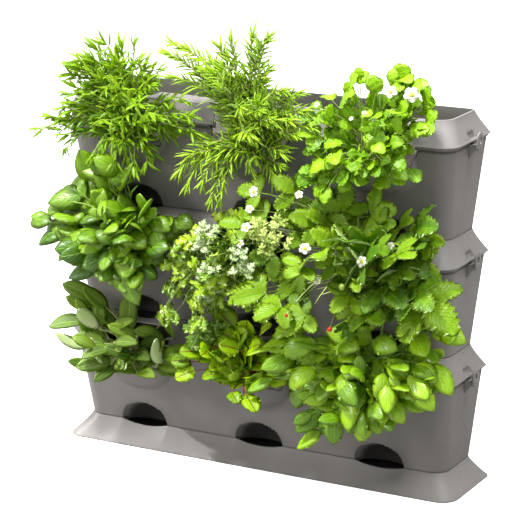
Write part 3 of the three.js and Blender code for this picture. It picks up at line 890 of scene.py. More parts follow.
def bladeRow(look, row, y, z, bend):
    columns, total, half = look["columns"], 1 + look["petiole"], look["width"] / 2
    v, w, forward = row
    top, under = [], []
    for i in range(columns + 1):
        u = 2 * i / columns - 1
        lift = (look["fold"] * abs(u) - look["dome"] * u * u) * half * w / total
        phase = look["waves"] * math.tau * v + (1 if u > 0 else 2.4) * bend
        wave = look["wave"] * math.sin(phase) * abs(u)
        place = (u * half * w / total, y + forward * abs(u) ** 3 / total, z + lift + wave * half / total)
        top.append(place)
        if 0 < i < columns:
            under.append((place[0], place[1], place[2] - look["thickness"] * (1 - u * u)))
    return top + under


def bladeShape(look, bend=1.0):
    look = dict(bladeDefaults, **look)
    petiole, columns = look["petiole"], look["columns"]
    rows = [(-petiole, 0, 0), (-petiole * 0.9, 0.05, 0), (0.0, 0.06, 0)] if petiole > 0 else [(-0.01, 0, 0)]
    rows += list(look["outline"])
    verts, ringStarts = [], []
    y = z = 0.0
    last = rows[0][0]
    for row in rows:
        step = (row[0] - last) / (1 + petiole)
        slope = look["tilt"] - look["arch"] * bend * max(row[0], 0)
        y, z, last = y + math.cos(slope) * step, z + math.sin(slope) * step, row[0]
        ringStarts.append(len(verts))
        verts += bladeRow(look, row, y, z, bend) if row[1] else [(0, y, z)]
    faces, faceUvs = [], []

    def corner(row, i, under):
        if rows[row][1] == 0:
            return ringStarts[row]
        return ringStarts[row] + i + (columns if under and 0 < i < columns else 0)

    def addFace(corners, under):
        corners = [c for n, c in enumerate(corners) if c not in corners[:n]]
        if under:
            corners = corners[::-1]
        faces.append(tuple(corner(*c, under) for c in corners))
        shift = 1.0 if under else 0.0
        across = [i / columns if rows[row][1] else 0.5 for row, i in corners]
        faceUvs.append([(u + shift, rows[row][0]) for u, (row, i) in zip(across, corners)])

    for row in range(len(rows) - 1):
        for i in range(columns):
            corners = [(row, i), (row, i + 1), (row + 1, i + 1), (row + 1, i)]
            if rows[row][1] == 0:
                corners = corners[1:]
            if rows[row + 1][1] == 0:
                corners = corners[:3]
            addFace(corners, False)
            addFace(corners, True)
    return verts, faces, faceUvs


def joined(parts):
    verts, faces, faceUvs = [], [], []
    for (partVerts, partFaces, partUvs), matrix in parts:
        start = len(verts)
        verts += [tuple(matrix @ Vector(v)) for v in partVerts]
        faces += [tuple(start + i for i in face) for face in partFaces]
        faceUvs += partUvs
    return verts, faces, faceUvs


# Leaflets in threes on a short stalk, each given by its turn, reach, lift and size
def threesShape(blade, bend):
    one = bladeShape(blade, bend)
    parts = []
    for turn, reach, lift, size in blade["leaflets"]:
        matrix = Matrix.Translation((0, reach, lift)) @ Matrix.Rotation(turn, 4, "Z") @ Matrix.Scale(size, 4)
        parts.append((one, matrix))
    width, length = blade["stalk"]
    stalk = {"width": width, "outline": stalkOutline, "petiole": 0.0, "arch": 0, "tilt": 0.05, "columns": 2}
    return joined(parts + [(bladeShape(stalk), Matrix.Scale(length, 4))])


def leafMesh(name, shape):
    verts, faces, faceUvs = shape
    mesh = bpy.data.meshes.new(name)
    mesh.from_pydata(verts, [], faces)
    layer = mesh.uv_layers.new(name="leafUV")
    for polygon, corners in zip(mesh.polygons, faceUvs):
        for loop, uv in zip(polygon.loop_indices, corners):
            layer.data[loop].uv = uv
    mesh.shade_smooth()
    return bpy.data.objects.new(name, mesh)


def leafOutline(widths, teeth=0, depth=0.15, forward=0.02):
    def widthAt(v):
        place = v * (len(widths) - 1)
        i = min(int(place), len(widths) - 2)
        t = place - i
        return widths[i] + (widths[i + 1] - widths[i]) * t

    if not teeth:
        count = len(widths) - 1
        return [(i / count, w, 0) for i, w in enumerate(widths)]
    rows = [(0.0, widths[0], 0)]
    for i in range(teeth):
        notch, tip = (i + 0.25) / teeth, (i + 0.75) / teeth
        rows += [(notch, widthAt(notch) * (1 - depth), 0), (tip, widthAt(tip), forward)]
    return rows + [(1.0 + forward, 0, 0)]


stalkOutline = leafOutline([1, 1, 1, 0])
basilOutline = leafOutline([0.25, 0.66, 0.9, 1, 0.98, 0.88, 0.7, 0.4, 0])

# Leaf surfaces: veins follow leafUV, clouding follows the object, shade differs by leaf
leafDefaults = dict(
    cloudScale=70.0, clouding=0.7, underShare=0.75, swell=0.35, bumpHeight=0.0025,
    glow=0.12, glowDepth=0.004, glowRadius=(0.5, 1.0, 0.2), shine=0.25,
)


def veinsOf(tree, across, along, look):
    across = times(tree, offHalf(tree, calc(tree, "FRACT", across)), 2.0)
    midrib = stepBetween(tree, across, look["midrib"], look["midrib"] * 2.2, 1.0, 0.0)
    slanted = calc(tree, "MULTIPLY_ADD", across, -look["slant"], along)
    line = offHalf(tree, calc(tree, "FRACT", times(tree, slanted, look["veins"])))
    side = times(tree, stepBetween(tree, line, 0.36, 0.49), look["sideStrength"])
    return calc(tree, "MAXIMUM", midrib, side)


def makeLeaf(name, look):
    look = dict(leafDefaults, **look)
    shades = ("deep", "bright", "vein", "under", "stalk")
    deep, bright, vein, below, stalk = (tint(*look[key]) for key in shades)
    material, tree, surface = newMaterial(name)
    uv = addNode(tree, "ShaderNodeUVMap", uv_map="leafUV").outputs[0]
    parts = addNode(tree, "ShaderNodeSeparateXYZ", {0: uv}).outputs
    across, along = parts[0], parts[1]
    under = times(tree, calc(tree, "GREATER_THAN", across, 1.0001), look["underShare"])
    veins = veinsOf(tree, across, along, look)
    cloud = noiseOf(tree, look["cloudScale"], 3.0)
    clouding = times(tree, calc(tree, "SUBTRACT", cloud, 0.5), look["clouding"])
    tone = calc(tree, "ADD", valueOf(tree, "shade"), clouding)
    color = mixColor(tree, stepBetween(tree, tone, 0.15, 0.85), deep, bright)
    color = mixColor(tree, times(tree, veins, look["veinShare"]), color, vein)
    color = mixColor(tree, under, color, below)
    swell = times(tree, calc(tree, "SUBTRACT", 1.0, veins), look["pucker"])
    swell = calc(tree, "ADD", swell, times(tree, cloud, look["swell"]))
    fillInputs(tree, surface, {
        "Base Color": mixColor(tree, calc(tree, "LESS_THAN", along, 0.0), color, stalk),
        "Roughness": stepBetween(tree, cloud, 0.3, 0.7, look["roughness"] - 0.06, look["roughness"] + 0.06),
        "Normal": bumpOf(tree, swell, look["bump"], look["bumpHeight"]),
        "Subsurface Weight": look["glow"],
        "Subsurface Scale": look["glowDepth"],
        "Subsurface Radius": look["glowRadius"],
        "Specular IOR Level": look["shine"],
    })
    return material


def makeStem(name, first, second, roughness=0.6):
    material, tree, surface = newMaterial(name)
    cloud = noiseOf(tree, 160.0, 4.0, 0.6)
    fillInputs(tree, surface, {
        "Base Color": mixColor(tree, stepBetween(tree, cloud, 0.35, 0.65), tint(*first), tint(*second)),
        "Roughness": roughness,
        "Normal": bumpOf(tree, cloud, 0.4, 0.0006),
    })
    return material


# Foliage: stems swept along the edges and leaves set on the loose points
foliageInputs = {
    "Geometry": "Geometry", "leafOne": "Object", "leafTwo": "Object", "leafThree": "Object",
    "leafMaterial": "Material", "stemMaterial": "Material", "stemSides": "Int",
    "turnSpread": "Vector", "turnBack": "Vector", "sizeLeast": "Float", "sizeMost": "Float", "seed": "Int",
}


def foliageTree():
    tree = bpy.data.node_groups.new("foliage", "GeometryNodeTree")
    for name, kind in foliageInputs.items():
        tree.interface.new_socket(name, in_out="INPUT", socket_type=f"NodeSocket{kind}")
    tree.interface.new_socket("Geometry", in_out="OUTPUT", socket_type="NodeSocketGeometry")

    def made(kind, inputs, output=0, **settings):
        return addNode(tree, kind, inputs, **settings).outputs[output]

    def named(name, kind):
        return made("GeometryNodeInputNamedAttribute", {"Name": name}, "Attribute", data_type=kind)

    def joinedBy(parts):
        node = addNode(tree, "GeometryNodeJoinGeometry")
        for part in parts:
            tree.links.new(part, node.inputs[0])
        return node.outputs[0]

    given = addNode(tree, "NodeGroupInput").outputs
    points, seed = given["Geometry"], given["seed"]
    isLeaf = named("isLeaf", "BOOLEAN")
    isStem = made("FunctionNodeBooleanMath", {0: isLeaf}, operation="NOT")
    paths = made("GeometryNodeMeshToCurve", {"Mesh": points, "Selection": isStem})
    ring = made("GeometryNodeCurvePrimitiveCircle", {"Resolution": given["stemSides"], "Radius": 1.0})
    stems = made("GeometryNodeCurveToMesh", {
        "Curve": paths, "Profile Curve": ring, "Scale": named("thick", "FLOAT"), "Fill Caps": True,
    })
    forms = []
    for name in ("leafThree", "leafTwo", "leafOne"):
        inputs = {"Object": given[name], "As Instance": True}
        forms.append(made("GeometryNodeObjectInfo", inputs, "Geometry"))
    strays = {"Min": given["turnBack"], "Max": given["turnSpread"], "Seed": seed}
    stray = made("FunctionNodeRandomValue", strays, data_type="FLOAT_VECTOR")
    stray = made("FunctionNodeEulerToRotation", {0: stray})
    turn = made("FunctionNodeEulerToRotation", {0: named("turn", "FLOAT_VECTOR")})
    turn = made("FunctionNodeRotateRotation", {0: turn, 1: stray}, rotation_space="LOCAL")
    sizes = {2: given["sizeLeast"], 3: given["sizeMost"], "Seed": seed}
    spread = made("FunctionNodeRandomValue", sizes, 1, data_type="FLOAT")
    spots = made("GeometryNodeMeshToPoints", {"Mesh": points, "Selection": isLeaf})
    leaves = made("GeometryNodeInstanceOnPoints", {
        "Points": spots, "Instance": joinedBy(forms), "Pick Instance": True,
        "Instance Index": named("variant", "INT"), "Rotation": turn,
        "Scale": times(tree, named("size", "FLOAT"), spread),
    })
    whole = made("GeometryNodeRealizeInstances", {"Geometry": joinedBy([leaves, stems])})
    for chosen, material in ((isLeaf, "leafMaterial"), (isStem, "stemMaterial")):
        inputs = {"Geometry": whole, "Selection": chosen, "Material": given[material]}
        whole = made("GeometryNodeSetMaterial", inputs)
    addNode(tree, "NodeGroupOutput", {"Geometry": whole})
    return tree


foliage = foliageTree()


# A store keeps each point's place, the stems' edges and what the foliage reads by name
storeKinds = {
    "thick": "FLOAT", "isLeaf": "BOOLEAN", "turn": "FLOAT_VECTOR",
    "size": "FLOAT", "shade": "FLOAT", "variant": "INT",
}


def emptyStore():
    return {key: [] for key in ("verts", "edges", *storeKinds)}


def addPoint(store, place, *values):
    store["verts"].append(tuple(place))
    for key, value in zip(storeKinds, values):
        store[key].append(value)


def addStem(store, path, thickFrom, thickTo):
    start, last = len(store["verts"]), len(path) - 1
    for i, place in enumerate(path):
        addPoint(store, place, thickFrom + (thickTo - thickFrom) * i / last, False, (0, 0, 0), 0.0, 0.5, 0)
    store["edges"] += [(start + i, start + i + 1) for i in range(last)]


def addLeaf(store, place, along, face, size, shade, variant):
    along = along.normalized()
    side = along.cross(face)
    if side.length < 0.01:
        side = along.cross(Vector((0.3, -0.8, 0.5)))
    side.normalize()
    matrix = Matrix((side, along, side.cross(along))).transposed()
    addPoint(store, place, 0.0, True, tuple(matrix.to_euler("XYZ")), size, shade, variant)


def shootPath(root, tip, count, rise=1.0):
    reach = tip - root
    out = Vector((reach.x, reach.y, 0))

    def up(height):
        return Vector((0, 0, height))

    if reach.z > 0:
        first = root + out * 0.22 + up(reach.z * 0.45 + out.length * 0.25 * rise)
        second = tip - out * 0.35 - up(reach.z * 0.12 - out.length * 0.08 * rise)
    else:
        first = root + out * 0.3 + up((0.022 + out.length * 0.42) * rise)
        second = tip - out * 0.12 + up(0.5 * abs(reach.z) + 0.012)
    path = []
    for t in steps(0, 1, count):
        s = 1 - t
        path.append(root * s ** 3 + first * 3 * s * s * t + second * 3 * s * t * t + tip * t ** 3)
    return path


def pathPoint(path, share):
    place = share * (len(path) - 1)
    i = min(int(place), len(path) - 2)
    along = path[i + 1] - path[i]
    return path[i] + along * (place - i), along.normalized()


# Where leaves face, and what a plant has where its own settings say nothing else
lightward = Vector((0.02, -0.74, 0.67))
plantDefaults = dict(
    habit="stalks", form=bladeShape, bends=6, crown=(0.022, 0.007),
    least=0.7, most=1.15, hold=0.5, flips=0, fillScale=0.9, stray=0.2, stemSides=6,
    leafBends=(0.5, 1.0, 1.6), sizeLeast=0.92, sizeMost=1.08, tipShare=0.55, tipReach=0.11,
    sway=((-0.45, 0.45), (-0.35, 0.1), (-0.25, 0.25)), jitter=(0.008, 0.012, 0.008), rise=1.0,
    youngFrom=0.55, youngFold=0.55, youngPale=0.35, lean=-0.12, tipTurn=2.2, tipSpread=0.35, tipShade=0.8,
    follow=(0.45, 0.8), highPale=2.0,
)


def aside(along, turn):
    side = along.cross(Vector((0.13, 0.21, 0.97))).normalized()
    return side * math.cos(turn) + along.cross(side) * math.sin(turn)


def leafFacing(along, look, rng):
    stray = Vector([rng.uniform(-1, 1) for axis in "xyz"])
    face = lightward + stray * look["tumble"]
    return face - along * face.dot(along)


def stemTo(store, root, tip, look):
    path = shootPath(root, tip, look["bends"], look["rise"])
    addStem(store, path, look["stemThick"], look["stemThin"])
    return path


def growShoot(store, root, tip, look, rng):
    path = stemTo(store, root, tip - (tip - root).normalized() * look["leafSize"] * look["tipShare"], look)
    bare, leafSize = look["bare"], look["leafSize"]
    length = sum((b - a).length for a, b in zip(path, path[1:]))
    nodes = max(int(length * (1 - bare) / look["nodeGap"]), 1)
    start = rng.uniform(0, math.tau)
    shoot = rng.uniform(-0.25, 0.25)
    for i in range(nodes + 1):
        share = bare + (1 - bare) * i / nodes
        place, along = pathPoint(path, share)
        young = smoothStep(look["youngFrom"], 1.0, share)
        for n in range(look["perNode"]):
            turn = start + i * look["nodeTurn"] + n * math.tau / look["perNode"]
            spread = look["spread"] * (1 - look["youngFold"] * young) * rng.uniform(0.8, 1.2)
            fall = Vector((0, look["lean"], -look["droop"] * rng.uniform(0.5, 1.3)))
            out = along + aside(along, turn) * spread + fall
            size = leafSize * (1 - look["youngShare"] * young) * rng.uniform(0.75, 1.1)
            shade = clamped(0.45 + shoot + look["youngPale"] * young + rng.uniform(-0.25, 0.25))
            out.normalize()
            addLeaf(store, place, out, leafFacing(out, look, rng), size, shade, rng.randrange(3))
    place, along = pathPoint(path, 1.0)
    for n in range(look["tipLeaves"]):
        out = (along + aside(along, start + n * look["tipTurn"]) * look["tipSpread"]).normalized()
        face = leafFacing(out, look, rng)
        size = leafSize * rng.uniform(0.7, 0.95)
        addLeaf(store, place, out, face, size, look["tipShade"], rng.randrange(3))


def growStalk(store, root, centre, look, rng, scale):
    reach = (centre - root).normalized()
    drop = look["droop"] * rng.uniform(0.3, 1.5)
    across, up = look["follow"]
    out = Vector((reach.x, reach.y * across, reach.z * up - drop))
    out += Vector([rng.uniform(*span) for span in look["sway"]])
    out.normalize()
    size = look["leafSize"] * scale * rng.uniform(look["least"], look["most"])
    base = centre - out * size * look["hold"]
    stemTo(store, root, base, look)
    shade = clamped(0.5 + rng.uniform(-0.4, 0.4) + look["highPale"] * (centre.z - root.z))
    face = leafFacing(out, look, rng)
    if look["flips"] and rng.random() < look["flips"]:
        face = -face
    addLeaf(store, base, out, face, size, shade, rng.randrange(3))


# The tower's front as the leaves meet it: behind it they are pressed forward
pressLook = dict(
    gap=0.0012, mouthEdge=0.002, lipOver=0.001, mouthRise=0.72, creaseRise=0.81,
    pocketEdge=0.006, pocketDepth=0.0042, pocketLevels=(0.080, 0.175),
    nudge=0.0004, layers=0.02, reach=0.204, ease=0.008, free=1.0, lowest=0.002,
)


def nearestTier(z):
    return min(max(int((z - tower["firstTier"]) / tower["tierPitch"]), 0), 2)


def frontAt(x, z, look):
    free, height = look["free"], troughLook["height"]
    tier = nearestTier(z)
    level = z - tierLevel(tier)
    rise = (level - height) / coverLook["height"]
    inMouth = offPocket(x) < troughLook["mouthHalf"] - look["mouthEdge"]
    if abs(x) > tower["half"] or z < look["lowest"]:
        return free
    if level < 0:
        return baseSize["front"]
    if level > tower["tierPitch"] or tier == 2 and rise > 1:
        return free
    if level <= height:
        if inMouth and level > troughLook["lipHeight"] + look["lipOver"]:
            return free
        return wallSize(level / height)["front"] - max(frontPush(x, level, troughLook), 0)
    if inMouth and rise < look["mouthRise"]:
        return free
    crease, band = look["creaseRise"], coverLook["bandDepth"]
    panel = tower["neckInset"][1] - band
    return lipSize["front"] + panel * min(rise / crease, 1) + band * max(rise - crease, 0) / (1 - crease)


def pressForward(mesh, look):
    low, high = look["pocketLevels"]
    for vertex in mesh.vertices:
        x, y, z = vertex.co
        front = frontAt(x, z, look) - look["gap"]
        inside = y - front
        if inside <= 0:
            continue
        inPocket = offPocket(x) < troughLook["mouthHalf"] - look["pocketEdge"]
        if inPocket and inside > look["pocketDepth"] and low < z - tierLevel(nearestTier(z)) < high:
            continue
        vertex.co.y = front - look["nudge"] + look["layers"] * inside


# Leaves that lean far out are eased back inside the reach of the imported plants
def easeBack(mesh, look):
    reach, ease = look["reach"], look["ease"]
    for vertex in mesh.vertices:
        past = -vertex.co.y - reach
        if past > 0:
            vertex.co.y = -reach - ease * (1 - math.exp(-past / ease))


def plantPiece(name, store, look, shape, blade, leafMaterial, stemMaterial, seed):
    forms = [leafMesh(f"{name}{i}", shape(blade, bend)) for i, bend in enumerate(look["leafBends"])]
    mesh = bpy.data.meshes.new(name)
    mesh.from_pydata(store["verts"], store["edges"], [])
    for key, kind in storeKinds.items():
        flat = [part for turn in store[key] for part in turn] if key == "turn" else store[key]
        layer = mesh.attributes.new(key, kind, "POINT")
        layer.data.foreach_set("vector" if key == "turn" else "value", flat)
    piece = linked(name, mesh)
    modifier = piece.modifiers.new("foliage", "NODES")
    modifier.node_group = foliage
    stray = look["stray"]
    values = {
        "leafOne": forms[0], "leafTwo": forms[1], "leafThree": forms[2],
        "leafMaterial": leafMaterial, "stemMaterial": stemMaterial, "stemSides": look["stemSides"],
        "turnSpread": (stray, stray, stray), "turnBack": (-stray, -stray, -stray),
        "sizeLeast": look["sizeLeast"], "sizeMost": look["sizeMost"], "seed": seed,
    }
    for item in foliage.interface.items_tree:
        if item.name in values:
            modifier[item.identifier] = values[item.name]
    piece = finished(piece, name)
    pressForward(piece.data, pressLook)
    easeBack(piece.data, pressLook)
    claim(piece, f"trough_{tierNames[look['tier']]}", f"{look['plant']}_plant")
    for form in forms:
        bpy.data.meshes.remove(form.data)
    return piece


# More tips between the listed ones
def fillTips(tips, root, look, rng):
    made = []
    while len(made) < look["fill"]:
        first, second = rng.choice(tips), rng.choice(tips)
        if (first - second).length > look["tipReach"]:
            continue
        spot = first.lerp(second, rng.uniform(0.2, 0.8))
        spot = root.lerp(spot, rng.uniform(*look["pull"]))
        made.append(spot + Vector([rng.uniform(-reach, reach) for reach in look["jitter"]]))
    return made


# Roots and tips are measured from the foot of the tier at the pocket's middle. A tip is
# in millimetres, and a fourth value is its size.
rootPlace = Vector((0, -0.0765, 0.098))


def placed(look, tips):
    corner = Vector((pocketCentres[look["pocket"] + 1], 0, tierLevel(look["tier"])))
    spots = [corner + Vector(tip[:3]) * mm for tip in tips]
    return corner + rootPlace, spots, [tip[3] if len(tip) > 3 else 1.0 for tip in tips]


def growPlant(name, look, tips):
    look = dict(plantDefaults, **look)
    rng = random.Random(look["seed"])
    root, ends, scales = placed(look, tips)
    fills = fillTips(ends, root, look, rng)
    store = emptyStore()
    x, y = look["crown"]
    for end, scale in zip(ends + fills, scales + [look["fillScale"]] * len(fills)):
        start = root + Vector((rng.uniform(-x, x), rng.uniform(-y, y), 0))
        if look["habit"] == "shoots":
            growShoot(store, start, end, look, rng)
        else:
            growStalk(store, start, end, look, rng, scale)
    leafMaterial = makeLeaf(f"{name}Leaf", look["surface"])
    stemMaterial = makeStem(f"{name}Stem", *look["stem"])
    piece = plantPiece(
        f"{name}.foliage", store, look, look["form"], look["blade"], leafMaterial, stemMaterial, look["seed"],
    )
    triangles = sum(len(p.vertices) - 2 for p in piece.data.polygons)
    print("stage:", name, sum(store["isLeaf"]), "leaves", triangles, "triangles")


# Tarragon: long thin lance leaves in wispy sprays
tarragon = dict(
    plant="tarragon", pocket=-1, tier=2, seed=11,
    habit="shoots", bends=8, fill=82, pull=(0.6, 1.02), stray=0.5,
    leafSize=0.034, youngShare=0.35, nodeGap=0.0075, perNode=1, nodeTurn=2.4, bare=0.25,
    spread=0.95, droop=0.15, tumble=0.5, stemThick=0.0011, stemThin=0.0006, tipLeaves=4,
    blade=dict(
        width=0.17, outline=leafOutline([0.3, 0.8, 1, 0.85, 0.5, 0]), petiole=0.04,
        arch=0.7, fold=0.35, thickness=0.012,
    ),
    surface=dict(
        deep=(58, 92, 3), bright=(104, 142, 8), vein=(150, 190, 40), under=(168, 198, 50),
        stalk=(150, 180, 80), midrib=0.10, veins=3.0, slant=0.5, sideStrength=0.1,
        veinShare=0.35, pucker=0.2, bump=0.25, roughness=0.45,
    ),
    stem=((120, 150, 60), (160, 175, 90)),
)
growPlant("tarragon", tarragon, (
    (-30, -90, 267), (-42, -100, 260), (28, -95, 270), (-63, -110, 233), (-51, -95, 237), (-88, -110, 217),
    (-88, -120, 186), (-124, -120, 141), (-148, -115, 118), (-99, -125, 92), (-46, -130, 83), (4, -135, 76),
    (49, -140, 82), (72, -130, 85), (122, -110, 193), (144, -120, 169), (145, -110, 141), (12, -175, 160),
    (35, -150, 212), (74, -130, 219), (94, -165, 176), (53, -100, 238), (80, -105, 232), (-104, -113, 160),
    (-72, -105, 240), (4, -95, 262),
))

# Rosemary: stiff needles around thin pale woody stems
rosemary = dict(
    plant="rosemary", pocket=0, tier=2, seed=12,
    habit="shoots", bends=8, fill=30, pull=(0.5, 1.0),
    leafSize=0.031, youngShare=0.3, nodeGap=0.0046, perNode=2, nodeTurn=1.35, bare=0.2,
    spread=1.0, droop=0.05, tumble=0.6, stemThick=0.0013, stemThin=0.0006, tipLeaves=4,
    blade=dict(
        width=0.115, outline=leafOutline([0.7, 1, 0.95, 0.6, 0]), petiole=0.0,
        arch=0.6, fold=-0.3, thickness=0.02,
    ),
    surface=dict(
        deep=(77, 105, 10), bright=(139, 178, 36), vein=(110, 140, 50), under=(180, 196, 130),
        stalk=(140, 150, 90), midrib=0.12, veins=2.0, slant=0.3, sideStrength=0.0,
        veinShare=0.4, pucker=0.2, bump=0.2, roughness=0.42,
    ),
    stem=((128, 112, 76), (170, 158, 112)),
)
growPlant("rosemary", rosemary, (
    (-115, -100, 274), (-115, -110, 260), (-110, -110, 226), (-37, -90, 276), (-13, -95, 284),
    (52, -100, 296), (20, -90, 295), (60, -110, 255), (88, -115, 225), (112, -120, 222), (-44, -120, 244),
    (-47, -100, 255), (124, -120, 196), (-76, -140, 111), (-89, -145, 84), (-79, -140, 61), (-39, -135, 33),
    (-25, -130, 32), (37, -120, 96), (74, -110, 77), (97, -130, 129), (37, -160, 203), (55, -165, 162),
    (141, -125, 174), (116, -125, 158), (106, -125, 180),
))

# Round leaf: thin scalloped discs on pale curling stalks
roundLeaf = dict(
    plant="round_leaf", pocket=1, tier=2, seed=13, fill=235, pull=(0.5, 1.02),
    leafSize=0.029, droop=0.35, tumble=0.45, stemThick=0.0009, stemThin=0.0006,
    blade=dict(
        width=0.98, outline=leafOutline([0.35, 0.78, 0.97, 1, 0.86, 0.6, 0.3], 6, 0.06, 0.01),
        petiole=0.06, arch=0.7, fold=0.18, dome=0.12, wave=0.07, thickness=0.014,
    ),
    surface=dict(
        deep=(79, 121, 2), bright=(113, 156, 6), vein=(176, 220, 70), under=(150, 200, 60),
        stalk=(176, 200, 100), midrib=0.03, veins=4.0, slant=0.8, sideStrength=0.6,
        veinShare=0.35, pucker=0.3, bump=0.3, roughness=0.42,
    ),
    stem=((160, 190, 90), (186, 200, 120)),
)
growPlant("roundLeaf", roundLeaf, (
    (-49, -110, 209), (-42, -130, 194), (-20, -100, 231), (-11, -90, 237), (19, -110, 236), (42, -100, 246),
    (52, -90, 249), (74, -100, 230), (97, -110, 232), (109, -120, 195), (96, -130, 179), (74, -150, 205),
    (38, -170, 181), (57, -175, 162), (75, -150, 185), (-26, -150, 133), (-50, -140, 117), (18, -165, 126),
    (49, -160, 124), (73, -140, 106), (-5, -150, 102), (-37, -150, 77), (-76, -130, 103), (88, -130, 115),
    (66, -105, 246), (90, -112, 238), (104, -116, 222), (-82, -115, 176), (-72, -125, 134), (-76, -135, 93),
    (-72, -110, 196), (-53, -140, 80), (-78, -120, 154),
))

# Cupped basil: glossy domed leaves, tips turned down
cuppedBasil = dict(
    plant="cupped_basil", pocket=-1, tier=1, seed=14, fill=170, pull=(0.5, 1.04),
    leafSize=0.055, least=0.5, fillScale=1.0, droop=0.45, tumble=0.4,
    stemThick=0.0018, stemThin=0.0011,
    blade=dict(
        width=0.72, outline=basilOutline, arch=1.1, tilt=0.5, fold=0.1, dome=0.4,
        thickness=0.014,
    ),
    surface=dict(
        deep=(56, 90, 3), bright=(105, 141, 11), vein=(150, 196, 70), under=(140, 184, 60),
        stalk=(130, 170, 70), midrib=0.035, veins=5.0, slant=0.55, sideStrength=0.6,
        veinShare=0.3, pucker=0.9, bump=0.55, roughness=0.36, shine=0.5,
    ),
    stem=((110, 150, 50), (140, 170, 70)),
)
growPlant("cuppedBasil", cuppedBasil, (
    (-63, -100, 236), (-30, -95, 243), (-80, -105, 208), (-98, -110, 184), (-134, -120, 152),
    (-112, -125, 128), (-84, -130, 114), (-50, -130, 84), (-13, -150, 103), (42, -160, 120), (59, -160, 91),
    (50, -160, 75), (69, -130, 185), (82, -110, 167), (108, -95, 171), (3, -105, 233), (32, -110, 214),
    (13, -165, 186), (53, -175, 155), (-15, -165, 145), (83, -140, 135),
))

# Parsley: frilly lobed leaves in threes
parsley = dict(
    plant="parsley", pocket=0, tier=1, seed=15, fill=84, pull=(0.45, 1.0),
    form=threesShape, leafSize=0.050, droop=0.4, tumble=0.55, stemThick=0.0009, stemThin=0.0005,
    blade=dict(
        width=0.95, outline=leafOutline([0.25, 0.75, 1, 0.95, 0.7, 0.4], 3, 0.4, 0.08), petiole=0.0,
        arch=0.8, fold=0.15, wave=0.08, waves=2.0, thickness=0.018, columns=2,
        leaflets=((0, 0.42, 0.03, 0.62), (-1.0, 0.38, 0.02, 0.5), (1.0, 0.38, 0.02, 0.5)),
        stalk=(0.05, 0.45),
    ),
    surface=dict(
        deep=(73, 108, 4), bright=(139, 172, 22), vein=(190, 216, 120), under=(176, 204, 120),
        stalk=(160, 190, 90), midrib=0.05, veins=4.0, slant=0.7, sideStrength=0.5,
        veinShare=0.4, pucker=0.5, bump=0.4, roughness=0.45,
    ),
    stem=((150, 180, 80), (180, 200, 110)),
)
growPlant("parsley", parsley, (
    (-72, -125, 158), (-44, -130, 166), (-21, -110, 182), (2, -105, 192), (-75, -130, 148),
    (-92, -130, 118), (-98, -130, 77), (-114, -140, 44), (-53, -140, 68), (-45, -140, 38), (-51, -130, 19),
    (-7, -160, 147), (21, -150, 170), (-13, -150, 106), (31, -140, 132), (24, -110, 169), (23, -140, 93),
))

# Strawberry: saw-edged leaflets in threes
strawberry = dict(
    plant="strawberry", pocket=1, tier=1, seed=16, fill=62, pull=(0.55, 1.02),
    form=threesShape, leafSize=0.068, least=0.75, droop=0.35, tumble=0.3,
    stemThick=0.0010, stemThin=0.0008,
    blade=dict(
        width=0.78, outline=leafOutline([0.2, 0.62, 0.92, 1, 0.92, 0.7, 0.3], 8, 0.16, 0.05),
        petiole=0.04, arch=0.5, fold=0.3, wave=0.05, waves=5, thickness=0.014,
        leaflets=((0, 0.36, 0.02, 0.66), (-1.25, 0.36, 0.01, 0.58), (1.25, 0.36, 0.01, 0.58)),
        stalk=(0.04, 0.38),
    ),
    surface=dict(
        deep=(55, 88, 2), bright=(104, 135, 8), vein=(96, 150, 20), under=(172, 200, 120),
        stalk=(150, 180, 80), midrib=0.03, veins=8.0, slant=0.45, sideStrength=0.8,
        veinShare=0.6, pucker=1.0, bump=0.6, roughness=0.45,
    ),
    stem=((150, 170, 80), (170, 180, 100)),
)
growPlant("strawberry", strawberry, (
    (-165, -120, 240), (-179, -140, 183), (-152, -130, 206), (-108, -120, 239), (-54, -100, 233),
    (-30, -100, 228), (22, -110, 222), (61, -110, 212), (99, -110, 212), (112, -120, 199),
    (118, -140, 98, 1.35), (104, -150, 90), (111, -150, 120), (62, -160, 130), (42, -150, 96),
    (5, -170, 111), (-61, -180, 75), (-101, -180, 84), (-131, -175, 101), (-158, -165, 95),
    (-56, -190, 152), (-24, -190, 184), (10, -180, 194), (49, -180, 170), (85, -160, 184), (11, -150, 62),
))


# Trims: small pieces of their own on a plant's place, such as petals, hearts and berries
def blossomShape(blade, bend):
    one = bladeShape(blade, bend)
    count = blade["petals"]
    turns = [Matrix.Rotation(math.tau * i / count, 4, "Z") @ Matrix.Scale(0.5, 4) for i in range(count)]
    return joined([(one, turn) for turn in turns])


# A closed dome, the same for every bend
def domeShape(look, bend):
    rows, columns, low, high = look["rows"], look["columns"], look["low"], look["high"]
    verts = [(0, 0, low)]
    for i in range(1, rows):
        turn = math.pi * i / rows
        radius = math.sin(turn) ** look["power"] * look["radius"]
        level = low + (high - low) * (1 - math.cos(turn)) / 2
        turns = steps(0, math.tau, columns)[:-1]
        verts += [(radius * math.cos(a), radius * math.sin(a), level) for a in turns]
    verts.append((0, 0, high))
    last = len(verts) - 1
    faces = []
    for i in range(columns):
        j = (i + 1) % columns
        faces.append((0, 1 + j, 1 + i))
        for start in range(1, 1 + (rows - 2) * columns, columns):
            above = start + columns
            faces.append((start + i, start + j, above + j, above + i))
        faces.append((last - columns + i, last - columns + j, last))
    return verts, faces, [[(0.5, 0.5)] * len(face) for face in faces]


